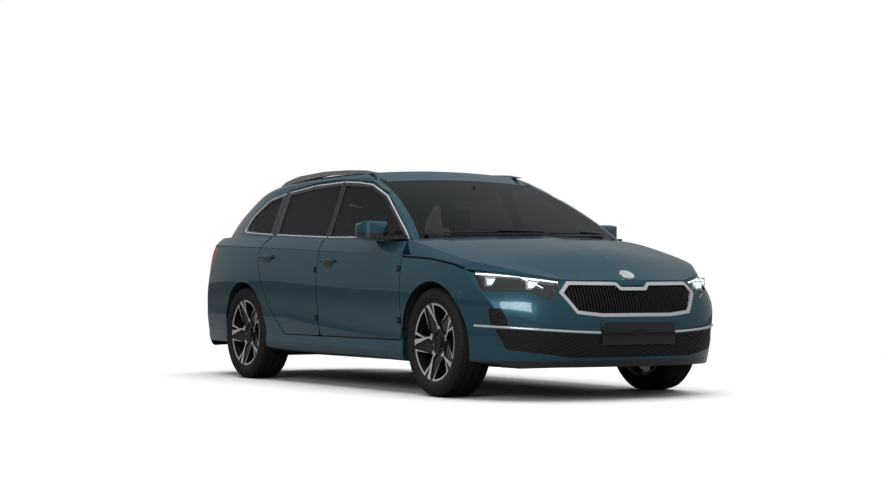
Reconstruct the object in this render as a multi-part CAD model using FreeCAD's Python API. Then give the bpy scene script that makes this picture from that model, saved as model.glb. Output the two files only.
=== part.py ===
import FreeCAD, Part
import math
import os

# Mid-size station wagon as an assembly of separate pieces, in millimetres.
#
# Row frame: +X forward, +Y to the car's left, +Z up. The origin is on the ground, under the middle of the
# overall length and width. Outer surfaces come from short tables of body lines; every wall is the space
# between two skins of the same tables, and every panel is that wall cut by an outline in side, plan or rear
# view. Right-hand pieces are modelled and left-hand ones are their mirror images.

V = FreeCAD.Vector
os.makedirs("parts", exist_ok=True)

# ---------------------------------------------------------------- driving dimensions
LENGTH = 4698.0
WIDTH = 1829.0
HEIGHT = 1468.0
WHEELBASE = 2686.0
FRONT_OVERHANG = 880.0
TRACK = 1540.0
TYRE_RADIUS = 330.0
TYRE_WIDTH = 225.0
RIM_RADIUS = 243.0
ARCH_CLEARANCE = 36.0

DOOR_GAP = 6.5  # shut lines between a moving panel and its neighbour
PANEL_GAP = 3.0  # joints between two fixed outer panels
SEAT_GAP = 0.3  # a piece and what carries it
DOOR_DEPTH = 76.0  # door, outer skin to trim, below the belt
WALL_DEPTH = 112.0  # body side, outer skin to trim, below the belt
FLANGE_DEPTH = 86.0  # where the body's door flange starts behind the door
FRAME_DEPTH = 32.0  # door window frame
PILLAR_DEPTH = 62.0  # body pillars above the belt
UPPER_FLANGE_DEPTH = 40.0
FLANGE_LAP = 26.0  # how far the flange shows inside the door's outline
GLASS = 4.0
GLASS_INSET = 5.0
BONNET_THICKNESS = 22.0
SKIN = 5.0  # fenders and bumper shells
SHUT_SLANT = 0.22  # shut faces lean forward as they run inboard

# ---------------------------------------------------------------- places that follow from them
NOSE_X = LENGTH / 2
TAIL_X = -LENGTH / 2
FRONT_AXLE_X = NOSE_X - FRONT_OVERHANG
REAR_AXLE_X = FRONT_AXLE_X - WHEELBASE
HALF = WIDTH / 2
ARCH_RADIUS = TYRE_RADIUS + ARCH_CLEARANCE
AXLE_Z = TYRE_RADIUS
STEER_SWEEP = math.hypot(TYRE_RADIUS, TYRE_WIDTH / 2 + 70.0) + 10.0  # clear room round a steered tyre
HUB_Y = TRACK / 2

# The tables are drawn on this layout; X, Y and Z carry a drawn place to the model.
DRAWN = dict(front=1469.0, rear=-1217.0, half=914.5, belt=980.0, roof=1468.0)


def X(s):
    """Drawn length station to model x: the part between the axles stretches with the wheelbase."""
    if s >= DRAWN["front"]:
        return FRONT_AXLE_X + (s - DRAWN["front"]) * FRONT_OVERHANG / 880.0
    if s <= DRAWN["rear"]:
        rear_overhang = REAR_AXLE_X - TAIL_X
        return REAR_AXLE_X + (s - DRAWN["rear"]) * rear_overhang / 1132.0
    share = (s - DRAWN["rear"]) / (DRAWN["front"] - DRAWN["rear"])
    return REAR_AXLE_X + share * WHEELBASE


def Y(w):
    """Drawn half-width to model half-width: what is outside the seats moves out with the side."""
    return w + (HALF - DRAWN["half"]) * min(1.0, abs(w) / 600.0) * (1 if w >= 0 else -1)


def Z(h):
    """Drawn height to model height: the glasshouse stretches with the overall height."""
    if h <= DRAWN["belt"]:
        return h
    return h + (HEIGHT - DRAWN["roof"]) * (h - DRAWN["belt"]) / (DRAWN["roof"] - DRAWN["belt"])


# ---------------------------------------------------------------- surface and solid helpers
def curve_poles(points, params):
    curve = Part.BSplineCurve()
    curve.interpolate(Points=points, Parameters=params)
    return curve.getPoles(), curve.getKnots(), curve.getMultiplicities()


def strip_face(rows, params):
    """A face along X: each row is a body line through its stations, and the rows are Bezier controls across."""
    poles = []
    for row in rows:
        line, knots, mults = curve_poles(row, params)
        poles.append(line)
    across = len(rows)
    surface = Part.BSplineSurface()
    grid = [[poles[j][i] for j in range(across)] for i in range(len(poles[0]))]
    surface.buildFromPolesMultsKnots(
        grid, mults, [across, across], knots, [0.0, 1.0], False, False, 3, across - 1)
    return surface.toShape()


def grid_face(points, u_params, v_params):
    """A smooth face through a grid of points, points[i][j] at u_params[i], v_params[j]."""
    columns = []
    for row in points:
        line, v_knots, v_mults = curve_poles(row, v_params)
        columns.append(line)
    poles = []
    for j in range(len(columns[0])):
        line, u_knots, u_mults = curve_poles([c[j] for c in columns], u_params)
        poles.append(line)
    grid = [[poles[j][i] for j in range(len(poles))] for i in range(len(poles[0]))]
    surface = Part.BSplineSurface()
    surface.buildFromPolesMultsKnots(
        grid, u_mults, v_mults, u_knots, v_knots, False, False, 3, 3)
    return surface.toShape()


def mirrored(shape):
    return shape.mirror(V(0, 0, 0), V(0, 1, 0))


def both_sides(shape):
    return Part.Compound([shape, mirrored(shape)])


def box(x0, x1, y0, y1, z0, z1):
    return Part.makeBox(x1 - x0, y1 - y0, z1 - z0, V(x0, y0, z0))


def tube_body(strips, params):
    """Closes strips of one side, their mirror images and flat ends into a solid."""
    right = [strip_face(rows, params) for rows in strips]
    left = [mirrored(f) for f in right]
    first, last = strips[0][0], strips[-1][-1]
    faces = right + left

    def side_ends(rows_at):
        edges = []
        for rows in strips:
            pts = [row[rows_at] for row in rows]
            curve = Part.BezierCurve()
            curve.setPoles(pts)
            edges.append(curve.toShape())
        return edges

    for at in (0, -1):
        edges = side_ends(at)
        edges += [mirrored(e) for e in edges]
        bottom = first[at]
        edges.append(Part.makeLine(bottom, V(bottom.x, -bottom.y, bottom.z)))
        top = last[at]
        if abs(top.y) > 1e-6:
            edges.append(Part.makeLine(top, V(top.x, -top.y, top.z)))
        faces.append(Part.Face(Part.Wire(Part.__sortEdges__(edges))))
    faces.append(strip_face([first, [V(p.x, -p.y, p.z) for p in first]], params))
    if any(abs(p.y) > 1e-6 for p in last):
        faces.append(strip_face([last, [V(p.x, -p.y, p.z) for p in last]], params))
    shell = Part.makeShell(faces)
    shell.sewShape()
    solid = Part.makeSolid(shell)
    if solid.Volume < 0:
        solid.reverse()
    return solid


def rounded_wire(corners, place):
    """Closed outline through (a, b, radius) corners, each rounded by an arc of its radius."""
    points = [V(a, b, 0) for a, b, _ in corners]
    n = len(points)
    ends = []
    for i, (_, _, r) in enumerate(corners):
        p, before, after = points[i], points[i - 1], points[(i + 1) % n]
        d0, d1 = (before - p).normalize(), (after - p).normalize()
        turn = math.pi - d0.getAngle(d1)
        run = r * math.tan(turn / 2)
        t0, t1 = p + d0 * run, p + d1 * run
        if run > 1e-6:
            bisector = (d0 + d1).normalize()
            centre = p + bisector * (r / math.cos(turn / 2))
            middle = centre - bisector * r
            ends.append((t0, middle, t1))
        else:
            ends.append((p, None, p))
    edges = []
    for i in range(n):
        t0, middle, t1 = ends[i]
        if middle is not None:
            edges.append(Part.Arc(place(t0), place(middle), place(t1)).toShape())
        nxt = ends[(i + 1) % n][0]
        if (t1 - nxt).Length > 1e-6:
            edges.append(Part.makeLine(place(t1), place(nxt)))
    return Part.Wire(edges)


def side_prism(corners, y0, y1, slant=0.0, skin=(905.0, 900.0, 0.0)):
    """A side-view outline of drawn (station, height, radius), run from y0 to y1.

    With a slant the faces lean forward with depth below a skin of half-width skin[0] at height skin[1]
    that leans in by skin[2] per unit of height.
    """
    at, height, lean = skin
    moved = [(X(s), Z(h), r) for s, h, r in corners]

    def place(p):
        depth = Y(at) - lean * (p.y - height) + y0
        return V(p.x + slant * depth, y0, p.y)

    wire = rounded_wire(moved, place)
    return Part.Face(wire).extrude(V(slant * (y1 - y0), y1 - y0, 0))


def plan_prism(corners, z0, z1):
    wire = rounded_wire([(X(s), w, r) for s, w, r in corners], lambda p: V(p.x, p.y, z0))
    return Part.Face(wire).extrude(V(0, 0, z1 - z0))


def rear_prism(corners, x0, x1):
    """An outline seen along X, of (half-width, height, radius) corners in model places."""
    wire = rounded_wire(corners, lambda p: V(x0, p.x, p.y))
    return Part.Face(wire).extrude(V(x1 - x0, 0, 0))


def save(name, shape):
    solids = shape.Solids
    assert solids, name
    out = solids[0] if len(solids) == 1 else Part.Compound(solids)
    out.exportStep(f"parts/{name}.step")
    PIECES[name] = out


PIECES = {}

# ---------------------------------------------------------------- lower body lines
# Each row: station, then (height, half-width) of the sill's underside, the sill's shoulder, the door's
# bottom edge, the low crease, half-width of the waist, the shoulder crease, the belt or bonnet edge, the
# bonnet's outer crease and its inner crease, and the height of the centreline.
SIDE = [
    # s      sill_z sill_y  rock_z rock_y  door_z door_y  low_z low_y  waist  tor_z tor_y  belt_z belt_y  out_z out_y  in_z in_y  mid_z
    (2420, 196, 480, 250, 520, 300, 530, 380, 542, 566, 640, 520, 652, 490, 612, 330, 620, 60, 622),
    (2200, 196, 620, 250, 668, 300, 676, 380, 690, 716, 690, 668, 702, 640, 706, 430, 738, 104, 742),
    (1950, 196, 760, 250, 802, 300, 808, 380, 818, 844, 744, 792, 772, 756, 802, 570, 862, 153, 868),
    (1700, 196, 812, 250, 872, 300, 876, 380, 884, 898, 802, 866, 836, 826, 872, 652, 922, 186, 930),
    (1469, 196, 826, 250, 884, 310, 884, 370, 890, 908, 836, 880, 886, 842, 926, 690, 962, 212, 970),
    (1100, 202, 832, 262, 886, 326, 880, 345, 888, 910, 857, 884, 950, 842, 968, 710, 988, 240, 996),
    (600, 208, 834, 272, 888, 333, 880, 362, 893, 913, 880, 889, 968, 838, 970, 700, 990, 250, 998),
    (0, 212, 834, 280, 888, 335, 880, 402, 896, 914.5, 906, 890, 992, 829, 1004, 700, 1014, 250, 1018),
    (-500, 214, 832, 288, 887, 336, 879, 440, 896, 914, 927, 888, 1010, 818, 1026, 680, 1036, 250, 1040),
    (-1000, 214, 826, 292, 882, 340, 876, 455, 892, 911, 946, 882, 1026, 802, 1044, 660, 1054, 250, 1058),
    (-1450, 214, 808, 290, 866, 345, 862, 460, 878, 898, 963, 860, 1040, 774, 1058, 630, 1068, 250, 1072),
    (-1900, 214, 760, 286, 820, 345, 816, 460, 830, 850, 974, 806, 1040, 706, 1060, 560, 1070, 250, 1074),
    (-2420, 214, 640, 280, 700, 340, 696, 455, 712, 732, 980, 670, 1036, 570, 1056, 460, 1066, 250, 1070),
]


def lower_lines(depth=0.0, floor=None):
    """Body lines of the lower body, moved inboard by depth, as lists of points from nose to tail."""
    stations = [X(r[0]) for r in SIDE]

    def line(zc, yc, dz=0.0, dy=0.0):
        pts = []
        for x, r in zip(stations, SIDE):
            z = r[zc] if isinstance(zc, int) else zc(r)
            y = r[yc] if isinstance(yc, int) else yc(r)
            pts.append(V(x, -(Y(y) - depth + dy), z + dz))
        return pts

    low = floor if floor is not None else None
    sill = line((lambda r: r[1] if low is None else low), 2)
    sill_round = line((lambda r: r[1] + 6 if low is None else low + 10), (lambda r: r[2] + 46))
    rock = line(3, 4)
    door = line(5, 6)
    crease = line(7, 8)
    hollow = line((lambda r: r[7] + 95), (lambda r: r[8] - 4))
    bulge_low = line((lambda r: r[7] + 0.42 * (r[10] - r[7])), (lambda r: r[9] + 7))
    bulge_high = line((lambda r: r[7] + 0.78 * (r[10] - r[7])), (lambda r: r[9] + 2))
    under = line((lambda r: r[10] - 9), (lambda r: r[11] - 3))
    shoulder = line(10, 11)
    belt_round = line((lambda r: r[10] + 0.55 * (r[12] - r[10])), (lambda r: 0.35 * r[11] + 0.65 * r[13] + 10))
    belt = line(12, 13)
    return dict(sill=sill, sill_round=sill_round, rock=rock, door=door, crease=crease, hollow=hollow,
                bulge_low=bulge_low, bulge_high=bulge_high, under=under, shoulder=shoulder,
                belt_round=belt_round, belt=belt)


def top_lines(drop=0.0):
    stations = [X(r[0]) for r in SIDE]
    outer = [V(x, -Y(r[15]), r[14] - drop) for x, r in zip(stations, SIDE)]
    outer_up = [V(x, -Y(0.5 * (r[13] + r[15])), 0.5 * (r[12] + r[14]) + 6 - drop) for x, r in zip(stations, SIDE)]
    inner = [V(x, -r[17], r[16] - drop) for x, r in zip(stations, SIDE)]
    inner_up = [V(x, -0.5 * (Y(r[15]) + r[17]), 0.5 * (r[14] + r[16]) + 9 - drop) for x, r in zip(stations, SIDE)]
    middle = [V(x, 0, r[18] - drop) for x, r in zip(stations, SIDE)]
    return outer_up, outer, inner_up, inner, middle


PARAMS = [0.0]
for a, b in zip(SIDE, SIDE[1:]):
    PARAMS.append(PARAMS[-1] + abs(X(b[0]) - X(a[0])))


def lower_body(depth=0.0, drop=0.0, floor=None):
    n = lower_lines(depth, floor)
    outer_up, outer, inner_up, inner, middle = top_lines(drop)
    belt = [V(p.x, p.y, p.z - drop) for p in n["belt"]]
    shoulder_up = [V(p.x, p.y, p.z - drop * 0.5) for p in n["belt_round"]]
    strips = [
        [n["sill"], n["sill_round"], n["rock"]],
        [n["rock"], n["door"]],
        [n["door"], n["crease"]],
        [n["crease"], n["hollow"], n["bulge_low"], n["bulge_high"], n["under"]],
        [n["under"], n["shoulder"]],
        [n["shoulder"], shoulder_up, belt],
        [belt, outer_up, outer],
        [outer, inner_up, inner],
        [inner, middle],
    ]
    return tube_body(strips, PARAMS)


# ---------------------------------------------------------------- upper body lines
# Each row: station, half-width at the belt, at mid glass and at the cant rail, cant rail height, half-width
# and height of the roof's edge, and the height of the roof's middle.
CABIN = [
    # s     belt_y  mid_y  cant_y cant_z  edge_y edge_z  mid_z
    (1560, 770, 640, 560, 1290, 490, 1330, 1345),
    (1100, 816, 671, 584, 1330, 520, 1372, 1390),
    (600, 838, 686, 612, 1368, 545, 1408, 1428),
    (150, 846, 694, 636, 1388, 566, 1426, 1450),
    (-350, 846, 702, 648, 1396, 578, 1432, 1458),
    (-900, 836, 710, 642, 1382, 570, 1418, 1449),
    (-1400, 796, 728, 618, 1340, 542, 1380, 1425),
    (-1850, 728, 612, 508, 1268, 442, 1316, 1386),
    (-2420, 520, 330, 360, 1180, 300, 1240, 1306),
]
CABIN_PARAMS = [0.0]
for a, b in zip(CABIN, CABIN[1:]):
    CABIN_PARAMS.append(CABIN_PARAMS[-1] + abs(X(b[0]) - X(a[0])))


def glass_lines(depth, drop, bottom):
    """Lines of the side above the belt, where the windows are."""
    def line(zf, yf, dz=0.0):
        return [V(X(r[0]), -(yf(r) - depth), zf(r) - dz) for r in CABIN]

    foot = line(lambda r: bottom, lambda r: Y(r[1]) + 0.28 * (960 - bottom))
    belly = line(lambda r: Z(1180), lambda r: Y(r[2]) + 26)
    cant = line(lambda r: Z(r[4]), lambda r: Y(r[3]), 0.4 * drop)
    return line, foot, belly, cant


def upper_body(depth=0.0, drop=None, bottom=840.0):
    drop = depth if drop is None else drop
    line, foot, belly, cant = glass_lines(depth, drop, bottom)
    corner = line(lambda r: Z(r[4]) + 0.86 * (Z(r[6]) - Z(r[4])), lambda r: Y(r[5]) + 34, 0.8 * drop)
    edge = line(lambda r: Z(r[6]), lambda r: Y(r[5]), drop)
    crown = [V(X(r[0]), -0.42 * Y(r[5]), Z(r[7]) + 2 - drop) for r in CABIN]
    middle = [V(X(r[0]), 0, Z(r[7]) - drop) for r in CABIN]
    strips = [[foot, belly, cant], [cant, corner, edge], [edge, crown, middle]]
    return tube_body(strips, CABIN_PARAMS)


def side_pane(zone, depth, thickness):
    """A layer of the right side above the belt in a zone, its outer face a depth below the skin."""
    _, foot, belly, cant = glass_lines(depth, 0.0, 840.0)
    skin = strip_face([foot, belly, cant], CABIN_PARAMS).common(zone)
    return skin.extrude(V(0, thickness, 0))


# ---------------------------------------------------------------- faces across the car
# Nose: rows by height, x of the front face at these half-widths.
NOSE_Y = (0.0, 260.0, 480.0, 680.0, 860.0, 1000.0)
NOSE = [
    # height  x at each half-width
    (60, (2225, 2213, 2165, 2050, 1830, 1600)),
    (200, (2292, 2280, 2235, 2115, 1885, 1680)),
    (300, (2334, 2322, 2272, 2145, 1918, 1730)),
    (430, (2349, 2337, 2290, 2165, 1945, 1760)),
    (560, (2326, 2313, 2266, 2155, 1950, 1780)),
    (690, (2272, 2258, 2205, 2075, 1850, 1660)),
    (800, (2205, 2185, 2120, 1975, 1740, 1540)),
    (950, (2110, 2080, 1990, 1830, 1580, 1360)),
    (1200, (1940, 1905, 1800, 1630, 1370, 1150)),
]
TAIL_Y = (0.0, 260.0, 480.0, 660.0, 790.0, 1000.0)
TAIL = [
    (60, (-2190, -2185, -2160, -2090, -1960, -1650)),
    (230, (-2262, -2255, -2225, -2150, -2010, -1680)),
    (400, (-2338, -2330, -2295, -2215, -2065, -1720)),
    (520, (-2349, -2341, -2305, -2222, -2070, -1725)),
    (640, (-2334, -2325, -2288, -2205, -2052, -1710)),
    (800, (-2300, -2290, -2248, -2160, -1995, -1670)),
    (940, (-2276, -2264, -2216, -2120, -1945, -1620)),
    (1030, (-2240, -2224, -2160, -2036, -1840, -1500)),
    (1200, (-2160, -2133, -2026, -1760, -1480, -1100)),
    (1350, (-2090, -2055, -1905, -1620, -1320, -900)),
    (1500, (-2030, -1990, -1820, -1520, -1200, -760)),
]
SCREEN_Y = (0.0, 300.0, 550.0, 750.0, 950.0)
SCREEN = [
    (860, (1560, 1515, 1409, 1279, 1109)),
    (985, (1335, 1293, 1194, 1072, 914)),
    (1150, (965, 933, 856, 762, 640)),
    (1320, (530, 503, 439, 361, 259)),
    (1420, (235, 208, 144, 66, -36)),
    (1540, (-160, -187, -251, -329, -431)),
]


def across_face(table, halves, shift=0.0):
    ys = [-w for w in reversed(halves)] + list(halves[1:])
    params = [Y(abs(w)) * (1 if w >= 0 else -1) for w in ys]
    grid = []
    for h, xs in table:
        full = list(reversed(xs)) + list(xs[1:])
        grid.append([V(X(s) + shift, yy, Z(h)) for s, yy in zip(full, params)])
    heights = [Z(h) for h, _ in table]
    return grid_face(grid, heights, params)


REACH = LENGTH * 1.2


def behind(table, halves, shift=0.0):
    """Everything behind a face across the front of the car."""
    return across_face(table, halves, shift).extrude(V(-REACH, 0, 0))


def ahead(table, halves, shift=0.0):
    return across_face(table, halves, shift).extrude(V(REACH, 0, 0))


# ---------------------------------------------------------------- whole-body skins
_skins = {}


def lower(depth=0.0, drop=None, inset=None, floor=None):
    drop = depth if drop is None else drop
    inset = depth if inset is None else inset
    key = ("low", depth, drop, inset, floor)
    if key not in _skins:
        body = lower_body(depth, drop, floor)
        body = body.common(behind(NOSE, NOSE_Y, -inset)).common(ahead(TAIL, TAIL_Y, inset))
        _skins[key] = body
    return _skins[key]


def upper(depth=0.0, drop=None, screen=0.0, tail=0.0, bottom=840.0):
    key = ("up", depth, drop, screen, tail, bottom)
    if key not in _skins:
        body = upper_body(depth, drop, bottom)
        body = body.common(behind(SCREEN, SCREEN_Y, -screen)).common(ahead(TAIL, TAIL_Y, tail))
        _skins[key] = body
    return _skins[key]


def right_half(shape):
    return shape.common(box(-REACH, REACH, -REACH, -0.001, -REACH, REACH))


def band(x0, x1, z0=-500.0, z1=2500.0):
    a, b = sorted((X(x0), X(x1)))
    return box(a, b, -REACH, REACH, z0, z1)


def cylinder_y(x, z, radius, y0, y1):
    return Part.makeCylinder(radius, y1 - y0, V(x, y0, z), V(0, 1, 0))


def revolve_y(profile, x, z):
    """Solid of revolution about the axle line at x, z from a (y, r) profile."""
    pts = [V(x, y, z + r) for y, r in profile]
    wire = Part.makePolygon(pts + [pts[0]])
    return Part.Face(wire).revolve(V(x, 0, z), V(0, 1, 0), 360)


BELT_ROWS = ((1600, 930), (1100, 950), (600, 968), (0, 992), (-500, 1010), (-1000, 1026), (-1450, 1040),
             (-2600, 1040))
BELT_LINE = [(s, h - 8.0, 0) for s, h in BELT_ROWS]
ABOVE_BELT = side_prism(BELT_LINE + [(-2600, 1600, 0), (1600, 1600, 0)], -REACH, REACH)
BELOW_BELT = side_prism(BELT_LINE + [(-2600, -300, 0), (1600, -300, 0)], -REACH, REACH)
RIGHT = box(-REACH, REACH, -REACH, -0.001, -REACH, REACH)


def low_wall(outer, inner, floor=-200.0):
    """Right side wall below the belt between two depths."""
    skin = lower(outer, -80.0, 0.0) if outer else lower()
    return skin.common(RIGHT).common(BELOW_BELT).cut(lower(inner, -80.0, 0.0, floor))


def up_wall(outer, inner, drop0=0.0, drop1=0.0):
    """Right side wall above the belt between two depths, with the roof between two drops."""
    skin = upper(outer, drop0).common(RIGHT).common(ABOVE_BELT)
    return skin.cut(upper(inner, drop1))


def low_patch(zone, outer, inner):
    """The part of the right side wall between two depths that lies in a zone."""
    skin = lower(outer, -80.0, 0.0) if outer else lower()
    return zone.common(skin).cut(lower(inner, -80.0, 0.0, -200.0))


def up_patch(zone, outer, inner, drop0=0.0, drop1=0.0):
    return zone.common(upper(outer, drop0)).cut(zone.common(upper(inner, drop1)))


def cut_all(shape, tools):
    for tool in tools:
        shape = shape.cut(tool)
    return shape


def join(*shapes):
    out = shapes[0]
    for other in shapes[1:]:
        out = out.fuse(other)
    return out


def largest(shape, count):
    """The biggest solids of a shape, leaving out slivers."""
    return Part.Compound(sorted(shape.Solids, key=lambda o: -o.Volume)[:count])


# ---------------------------------------------------------------- outlines in side view: (station, height, radius)
def grown(corners, by):
    """The outline moved outward by a distance, for an outline listed counter-clockwise (+s right, +h up)."""
    n = len(corners)
    out = []
    for i, (s, h, r) in enumerate(corners):
        ps, ph, _ = corners[i - 1]
        ns, nh, _ = corners[(i + 1) % n]
        a = V(s - ps, h - ph, 0).normalize()
        b = V(ns - s, nh - h, 0).normalize()
        na, nb = V(a.y, -a.x, 0), V(b.y, -b.x, 0)
        m = (na + nb).normalize()
        k = by / m.dot(na)
        out.append((s + m.x * k, h + m.y * k, max(0.0, r + by)))
    return out


FRONT_DOOR = [(1097, 338, 30), (1097, 944, 10), (1050, 960, 6), (540, 1262, 400), (300, 1350, 250), (-88, 1386, 8),
              (-40, 985, 40), (-12, 880, 60), (-12, 338, 25)]
REAR_DOOR = [(-20, 338, 25), (-20, 880, 60), (-48, 985, 40), (-96, 1388, 8), (-520, 1376, 500),
             (-944, 1342, 10), (-905, 1020, 60), (-972, 880, 150), (-800, 552, 220), (-560, 338, 25)]
REAR_DOOR[5] = (-948, 1343, 10)
FRONT_GLASS = [(958, 988, 12), (530, 1236, 300), (300, 1318, 200), (-56, 1346, 12), (-10, 1003, 12)]
REAR_GLASS = [(-70, 1006, 12), (-116, 1350, 12), (-520, 1340, 500), (-872, 1312, 12), (-838, 1040, 12)]
QUARTER_GLASS = [(-965, 1043, 12), (-1000, 1306, 20), (-1180, 1275, 200), (-1370, 1165, 200),
                 (-1455, 1080, 24)]


def ccw(corners):
    area = 0.0
    for i, (s, h, _) in enumerate(corners):
        ns, nh, _ = corners[(i + 1) % len(corners)]
        area += s * nh - ns * h
    return corners if area > 0 else list(reversed(corners))


FRONT_DOOR, REAR_DOOR = ccw(FRONT_DOOR), ccw(REAR_DOOR)
FRONT_GLASS, REAR_GLASS, QUARTER_GLASS = ccw(FRONT_GLASS), ccw(REAR_GLASS), ccw(QUARTER_GLASS)
RIGHT_Y0, RIGHT_Y1 = -HALF - 120, -300.0


LOW_SKIN = (905.0, 900.0, 0.0)
UP_SKIN = (850.0, 930.0, 0.47)


def right_prism(corners, slant=0.0, skin=LOW_SKIN):
    return side_prism(corners, RIGHT_Y0, RIGHT_Y1, slant, skin)


def front_view(corners, x0=1500.0, x1=2700.0):
    """An outline in front view, listed on the right side only, closed with its mirror image."""
    right = list(corners)
    left = [(-w, h, r) for w, h, r in reversed(corners)]
    return rear_prism([(Y(w), Z(h), r) for w, h, r in right + left], x0, x1)


def front_view_right(corners, x0=1500.0, x1=2700.0):
    return rear_prism([(Y(w), Z(h), r) for w, h, r in corners], x0, x1)


# ---------------------------------------------------------------- body sides
FRONT_END = X(1103.5)
REAR_END = -REACH
ROOF_JOINT_Y = 556.0
BOTH_DOORS = FRONT_DOOR[:0]
for corner in ((1097, 338, 30), (1097, 944, 10), (1050, 960, 6), (540, 1262, 400), (300, 1350, 250), (-137, 1388, 300),
               (-520, 1378, 500), (-948, 1343, 10), (-905, 1020, 60), (-972, 880, 150), (-800, 552, 220),
               (-560, 338, 25)):
    BOTH_DOORS.append(corner)
BOTH_DOORS = ccw(BOTH_DOORS)
APERTURE = right_prism(grown(BOTH_DOORS, DOOR_GAP))
INNER_F = right_prism(grown(FRONT_DOOR, -FLANGE_LAP))
INNER_R = right_prism(grown(REAR_DOOR, -FLANGE_LAP))
QUARTER_HOLE = right_prism(QUARTER_GLASS)
LINER_Y = HALF - 52.0
BONNET_LUG_Y = 716.0  # hinge lugs of the bonnet, outboard of the windscreen's foot
LUG_HALF = 6.0
SCREEN_SHIFT = 11.0  # windscreen thickness measured along the car
SCREEN_EDGE = 34.0  # how far inside the side skin the windscreen's edge lies
ROOF_THICKNESS = 26.0
HEADER_DROP = 62.0  # depth of the roof's front rail, which the windscreen meets
WHEELHOUSE_Y = 596.0
STUB_RADIUS = 46.0
RAIL_Y = 440.0
front_arch = cylinder_y(FRONT_AXLE_X, AXLE_Z, ARCH_RADIUS, -REACH, -LINER_Y + 1)
SWEEP_Y = HUB_Y - 25.0
LINER = 4.0
front_sweep = cylinder_y(FRONT_AXLE_X, AXLE_Z, STEER_SWEEP + LINER + SEAT_GAP, -SWEEP_Y, -RAIL_Y).fuse(
    cylinder_y(FRONT_AXLE_X, AXLE_Z, ARCH_RADIUS + 6.0 + LINER + SEAT_GAP, -LINER_Y, -SWEEP_Y))
rear_arch = cylinder_y(REAR_AXLE_X, AXLE_Z, ARCH_RADIUS, -REACH, -WHEELHOUSE_Y)
side_zone = box(-REACH, FRONT_END, -REACH, -ROOF_JOINT_Y, -500, 2500)
frame_zone = box(-REACH, X(1185), -REACH, -ROOF_JOINT_Y, -500, 2500)


def low_space(depth):
    """Everything of the right side inboard of a depth, below the belt."""
    return lower(depth, -80.0, 0.0, -200.0).common(RIGHT).common(BELOW_BELT)


def up_space(depth, drop):
    return upper(depth, drop).common(RIGHT).common(ABOVE_BELT)


low_outer = low_wall(0, FLANGE_DEPTH).common(side_zone).cut(APERTURE)
up_outer = up_wall(0, UPPER_FLANGE_DEPTH, 0, 28).common(side_zone).cut(APERTURE)
body_side = join(low_outer, up_outer)
low_inner = low_wall(FLANGE_DEPTH + SEAT_GAP, WALL_DEPTH).common(frame_zone)
low_inner = low_inner.cut(box(X(1103.5), X(1300), -REACH, -300, 835, 2500))
low_inner = cut_all(low_inner, [INNER_F, INNER_R])
up_inner = upper(UPPER_FLANGE_DEPTH + SEAT_GAP, 28 + SEAT_GAP).common(RIGHT).common(ABOVE_BELT).common(side_zone)
up_inner = cut_all(up_inner, [QUARTER_HOLE, INNER_F, INNER_R, upper(PILLAR_DEPTH, 46)])
side_frame = join(low_inner, up_inner)

# rear openings: the bumper below, the tailgate across, the lamp at the corner
BUMPER_TOP = 640.0
LAMP_DEPTH = 28.0
BUMPER_START = -1545.0
TAILGATE_TOP_X = -1880.0
TAILGATE_GAP = 10.5
TAILGATE = [(-560, 655, 20), (-575, 800, 30), (-610, 960, 60), (-560, 1110, 200), (-425, 1290, 120), (-410, 1500, 0)]
TAIL_LAMP = [(-1812, 952, 10), (-1846, 818, 14), (-2500, 800, 0), (-2500, 985, 0)]
bumper_zone = band(BUMPER_START, -2700, -400, BUMPER_TOP)

def tailgate_outline(by):
    right = list(TAILGATE)
    left = [(-w, h, r) for w, h, r in reversed(right)]
    return [(Y(w), Z(h), r) for w, h, r in grown(ccw(right + left), by)]


tailgate_side = rear_prism(tailgate_outline(DOOR_GAP), X(-2700), X(-1560))
roof_side = box(X(-2700), X(TAILGATE_TOP_X) + TAILGATE_GAP, -REACH, REACH, 0, 2600)
tail_zone = tailgate_side
lamp_zone = side_prism([(s, h, r) for s, h, r in ccw(TAIL_LAMP)], RIGHT_Y0, -300)

screen_seat = upper(SCREEN_EDGE, HEADER_DROP).cut(behind(SCREEN, SCREEN_Y, -SCREEN_SHIFT - SEAT_GAP))
body_side = cut_all(body_side, [screen_seat, front_arch, front_sweep, rear_arch, QUARTER_HOLE])
body_side = cut_all(body_side, [bumper_zone.common(lower()), tail_zone])
lamp_pocket = lamp_zone.cut(lower(LAMP_DEPTH, LAMP_DEPTH, LAMP_DEPTH))
body_side = body_side.cut(lamp_pocket)
lamp_seat = lamp_zone.cut(lower(LAMP_DEPTH + SEAT_GAP, LAMP_DEPTH + SEAT_GAP, LAMP_DEPTH + SEAT_GAP))
swing_room = box(X(1010), X(1098), -REACH, -766, 930, 949)
side_frame = cut_all(side_frame, [screen_seat, front_sweep, rear_arch, bumper_zone, tail_zone, lamp_seat,
                                  swing_room])
save("body_side_right", body_side)
save("body_side_left", mirrored(body_side))
save("side_frames", both_sides(side_frame))

# ---------------------------------------------------------------- doors
HINGE_A = 25.0  # hinge line behind the door's front edge
HINGE_Y = {"front": 889.0, "rear": 895.0}
HINGE_Z = (455.0, 775.0)
PIN_RADIUS = 6.0
LEAF_HEIGHT = 46.0


def make_door(outline, glass):
    low = low_wall(0, DOOR_DEPTH).common(right_prism(outline)).common(right_prism(outline, SHUT_SLANT))
    frame = side_pane(right_prism(outline).cut(right_prism(glass)).common(ABOVE_BELT), 0.0, FRAME_DEPTH)
    panel = join(low, frame)
    pane = side_pane(right_prism(grown(glass, -SEAT_GAP)), GLASS_INSET, GLASS)
    return panel, pane


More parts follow.
